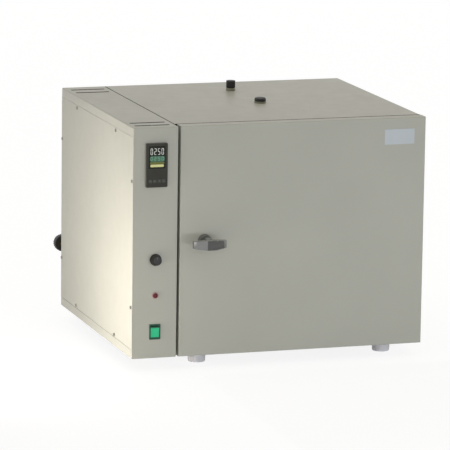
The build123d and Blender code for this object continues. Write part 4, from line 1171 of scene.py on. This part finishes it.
    def _limiter_knob(self) -> None:
        """Turned knob with a wide skirt, a fluted cone and a lighter face with a pointer."""
        low, high, middle = span("limiter_knob")
        front, back = low[1], high[1]
        skirt, tip = self.dial_skirt, self.dial_tip
        height, gap = self.dial_height, self.dial_gap
        shank, hub, hub_end = self.dial_shank, self.dial_hub, height - self.dial_hub_depth
        profile = softened(
            [
                (shank, back - front),
                (shank, hub_end),
                (hub, hub_end),
                (hub, height - gap),
                (skirt, height - gap),
                (skirt, height - 3.4 * MM),
                (skirt - 1.0 * MM, height - 3.6 * MM),
                (tip, 0.9 * MM),
                (tip - 0.9 * MM, 0.0),
                (0.3 * MM, 0.0),
            ],
            0.5 * MM,
        )
        turn_count = 120
        wave = hollows(self.dial_flutes, turn_count)
        cone = (profile[:, 1] < height - 3.7 * MM) & (profile[:, 0] > tip - 0.5 * MM)
        relief = -self.dial_flute_depth * cone[:, None] * wave[None, :]
        axis = np.array([middle[0], front, middle[2]])
        rings = circle_rings(profile * (1.0, -1.0), axis, Facing.FRONT, turn_count, relief)
        self.shop.piece(
            "limiter_knob_body", [Skin(rings)], BLACK_PLASTIC, "limiter_dial", "black_plastic",
            ("limiter_knob",),
        )
        centre, rim, thickness = 0.2 * MM, tip - 1.5 * MM, 0.16 * MM
        disc = softened(
            [(centre, 0.0), (rim, 0.0), (rim - 0.2 * MM, thickness), (centre, thickness)],
            0.08 * MM,
            3,
        )
        self.shop.piece(
            "limiter_knob_face", [Skin(circle_rings(disc, axis, Facing.FRONT, 64))], KNOB_FACE,
            "limiter_dial", "black_plastic",
        )
        pointer = self._bars([(0.0, 5.4 * MM, 1.3 * MM, 6.0 * MM)], axis - (0.0, 0.13 * MM, 0.0))
        self.shop.piece("limiter_pointer", pointer, MARK_GREY_PAINTED_GLOW, "limiter_dial", "black_plastic")

    def _lamp_lens(self) -> None:
        """Domed lens with fine concentric rings on its face: height - fall r^2 + a cos(k r)."""
        low, high, middle = span("lamp_lens")
        radius = (high[0] - low[0]) / 2
        radii = np.linspace(0.2 * MM, radius - 0.4 * MM, 22)
        crown = self.lens_height - (radii / radius) ** 2 * self.lens_fall
        ripple = self.lens_ring_height * np.cos(radii / radius * self.lens_rings * 2 * math.pi)
        face = np.stack([radii, crown + ripple], axis=1)[::-1]
        seat = self.lens_seat
        rim = np.array([(radius * 0.5, -seat), (radius, -seat), (radius, self.lens_wall)])
        axis = np.array([middle[0], high[1] - seat, middle[2]])
        rings = circle_rings(np.vstack([rim, face]), axis, Facing.FRONT, 64)
        self.shop.piece(
            "pilot_lens", [Skin(rings)], LAMP_RED, "cabinet", "lamp_red", ("lamp_lens",)
        )


@dataclass
class Door:
    """Door with its shell, inner plate, gasket, badge plate, hinges and latch handle."""

    shop: Workshop
    edge: float = 0.5 * MM
    edge_angle: float = math.radians(10)

    def build(self) -> None:
        """Dress the door's pieces and break the edges of the handle."""
        self.shop.dress(CABINET_PAINT, "door_shell")
        self.shop.dress(BADGE_PAINT, "badge_plate")
        self.shop.dress(SHELF_STEEL, "door_inner_plate")
        self.shop.dress(GASKET_RUBBER, "door_gasket")
        self.shop.dress(WOOL, "door_insulation")
        self.shop.dress(ZINC, "door_screws", "hinge_leaves_fixed", "hinge_leaves_moving")
        self.shop.dress(ZINC, "hinge_pins", "latch_spindle", "latch_cam", "cam_nut")
        self.shop.dress(CHROME, "handle_lever")
        # The darker chrome on the bush is painted shade.
        self.shop.dress(SHADED_BUSH_CHROME, "handle_bush")
        self._break_edges("handle_lever")

    def _break_edges(self, name: str) -> None:
        """Round a node's sharp edges by a small bevel between the weld and the split."""
        node = self.shop.nodes[name]
        bevel = node.modifiers.new("broken_edges", "BEVEL")
        bevel.width = self.edge
        bevel.segments = 2
        bevel.limit_method = "ANGLE"
        bevel.angle_limit = self.edge_angle
        node.modifiers.move(len(node.modifiers) - 1, 1)


@dataclass(frozen=True)
class Lamp:
    """A rectangular soft lamp: its place, what it looks at, width and height, watts, tint."""

    name: str
    place: Point
    target: Point
    size: tuple[float, float]
    power: float
    tint: Colour
    mirrored: bool = True


@dataclass(frozen=True)
class Card:
    """A card that shows only in reflections, lying on the floor with its far edge turned up.

    The second and third floor corners are at the bend; grey is how light the card looks.
    """

    name: str
    floor_corners: tuple[tuple[float, float], ...]
    height: float
    grey: float


CREAM = (1.0, 0.93, 0.83)
NEUTRAL = (0.92, 0.97, 1.0)
AMBER = (1.0, 0.8, 0.4)
LEFT_PLACE, LEFT_TARGET = (-0.84, -0.315, 0.1), (-0.33, -0.25, 0.16)
LAMPS = (
    Lamp("left_lamp", LEFT_PLACE, LEFT_TARGET, (0.26, 0.26), 4.5, CREAM, False),
    Lamp("front_lamp", (-0.4, -3.6, 1.0), (0.05, -0.3, 0.3), (2.4, 2.4), 10.0, NEUTRAL),
    Lamp("low_lamp", (0.45, -1.7, 0.09), (0.12, -0.3, 0.28), (1.0, 0.14), 4.8, NEUTRAL, False),
    Lamp("top_lamp", (0.3, 0.4, 3.0), (0.0, 0.0, 0.4), (2.2, 2.2), 9.0, AMBER),
)
CARDS = (
    Card("dark_card", ((-0.2, -0.37), (-0.2, -1.6), (2.6, -1.2), (1.4, -0.37)), 1.3, 0.2),
    Card("grey_card", ((-1.6, -0.37), (-2.0, -1.3), (-0.2, -1.6), (-0.2, -0.37)), 1.3, 0.5),
)


@dataclass
class Studio:
    """White floor and surroundings, soft lamps, cards and the camera.

    The floor has one tone and glow where it is seen, and another tone for the light it returns.
    """

    lens: float = 298.55
    place: Point = (-2.58135, -7.8822, 1.8529)
    azimuth: float = -17.928
    elevation: float = 10.921
    roll: float = 0.792
    surroundings: Colour = (0.495, 0.49, 0.475)
    floor_reach: float = 40.0
    floor_seen: float = 0.14
    floor_glow: float = 0.87
    floor_returned: float = 0.85

    def build(self) -> None:
        """Set the floor, the surroundings, the lamps, the cards and the camera."""
        scene = bpy.context.scene
        scene.view_settings.view_transform = "Standard"
        self._floor()
        self._world()
        for lamp in LAMPS:
            self._lamp(lamp)
        for card in CARDS:
            self._card(card)
        self._camera()

    def _floor(self) -> None:
        """A wide white floor that keeps the oven's soft shadow."""
        mesh = bpy.data.meshes.new("studio_floor")
        corners = np.array([(-1, -1, 0), (1, -1, 0), (1, 1, 0), (-1, 1, 0)], float)
        mesh.from_pydata((corners * self.floor_reach).tolist(), [], [[0, 1, 2, 3]])
        bench = MaterialBench("studio_floor_white")
        seen = bench.seen_rays()
        tone = bench.ranged(seen, (0, 1), (self.floor_returned, self.floor_seen))
        bench.link(tone, bench.shader.inputs["Base Color"])
        bench.shader.inputs["Roughness"].default_value = 0.9
        bench.glow((1.0, 1.0, 1.0), bench.ranged(seen, (0, 1), (0.0, self.floor_glow)))
        mesh.materials.append(bench.material)
        floor = bpy.data.objects.new("studio_floor", mesh)
        bpy.context.scene.collection.objects.link(floor)

    def _world(self) -> None:
        """Surroundings that look white and light the oven at a lower level."""
        world = bpy.data.worlds.new("studio_surroundings")
        bpy.context.scene.world = world
        world.use_nodes = True
        bench = NodeBench(world.node_tree)
        background = bench.tree.nodes["Background"]
        background.inputs["Strength"].default_value = 1.0
        mix = bench.node("ShaderNodeMix", data_type="RGBA")
        factor, dim, bright = (mix.inputs[index] for index in (0, 6, 7))
        bench.link(bench.seen_rays(), factor)
        dim.default_value = (*self.surroundings, 1)
        bright.default_value = (1, 1, 1, 1)
        bench.link(mix.outputs[2], background.inputs["Color"])

    def _lamp(self, lamp: Lamp) -> None:
        """Set one soft lamp.

        Args:
            lamp: its description.
        """
        data = bpy.data.lights.new(lamp.name, "AREA")
        data.shape = "RECTANGLE"
        data.size, data.size_y = lamp.size
        data.energy = lamp.power
        data.color = lamp.tint
        made = bpy.data.objects.new(lamp.name, data)
        made.visible_camera = False
        made.visible_glossy = lamp.mirrored
        bpy.context.scene.collection.objects.link(made)
        aim = (Vector(lamp.target) - Vector(lamp.place)).to_track_quat("-Z", "Y")
        made.matrix_world = Matrix.Translation(lamp.place) @ aim.to_matrix().to_4x4()

    def _card(self, card: Card) -> None:
        """Lay one card.

        Args:
            card: its description.
        """
        flat = [(x, y, 2.0 * MM) for x, y in card.floor_corners]
        raised = [(x, y, card.height) for x, y in card.floor_corners[1:3]]
        mesh = bpy.data.meshes.new(card.name)
        mesh.from_pydata(flat + raised, [], [[0, 1, 2, 3], [1, 4, 5, 2]])
        bench = MaterialBench(card.name + "_grey")
        bench.shader.inputs["Base Color"].default_value = (0.0, 0.0, 0.0, 1)
        bench.shader.inputs["Roughness"].default_value = 1.0
        bench.glow((card.grey,) * 3, 1.0)
        mesh.materials.append(bench.material)
        made = bpy.data.objects.new(card.name, mesh)
        made.visible_camera = False
        made.visible_diffuse = False
        made.visible_shadow = False
        bpy.context.scene.collection.objects.link(made)

    def _camera(self) -> None:
        """Stand the camera at its place, turned by azimuth, elevation and roll."""
        around, above, roll = (math.radians(a) for a in (self.azimuth, self.elevation, self.roll))
        back = Vector(
            (
                math.sin(around) * math.cos(above),
                -math.cos(around) * math.cos(above),
                math.sin(above),
            )
        )
        right = (-back).cross(Vector((0, 0, 1))).normalized()
        up = right.cross(-back)
        turned_right = math.cos(roll) * right + math.sin(roll) * up
        turned_up = -math.sin(roll) * right + math.cos(roll) * up
        data = bpy.data.cameras.new("view_camera")
        data.lens = self.lens
        data.sensor_width = 36.0
        data.clip_end = 100.0
        camera = bpy.data.objects.new("view_camera", data)
        bpy.context.scene.collection.objects.link(camera)
        turn = Matrix((turned_right, turned_up, back)).transposed().to_4x4()
        camera.matrix_world = Matrix.Translation(self.place) @ turn
        bpy.context.scene.camera = camera


def main() -> None:
    """Load the frame, set the studio and build each sub-assembly."""
    logging.basicConfig(level=logging.INFO, format="%(name)s: %(message)s")
    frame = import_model()
    shop = Workshop(frame)
    Studio().build()
    for assembly in (
        Casing(shop),
        Chamber(shop),
        TopPorts(shop),
        VacuumValve(shop),
        ControlColumn(shop),
        Door(shop),
    ):
        assembly.build()
        LOG.info("finished %s", type(assembly).__name__)


if __name__ == "__main__":
    main()
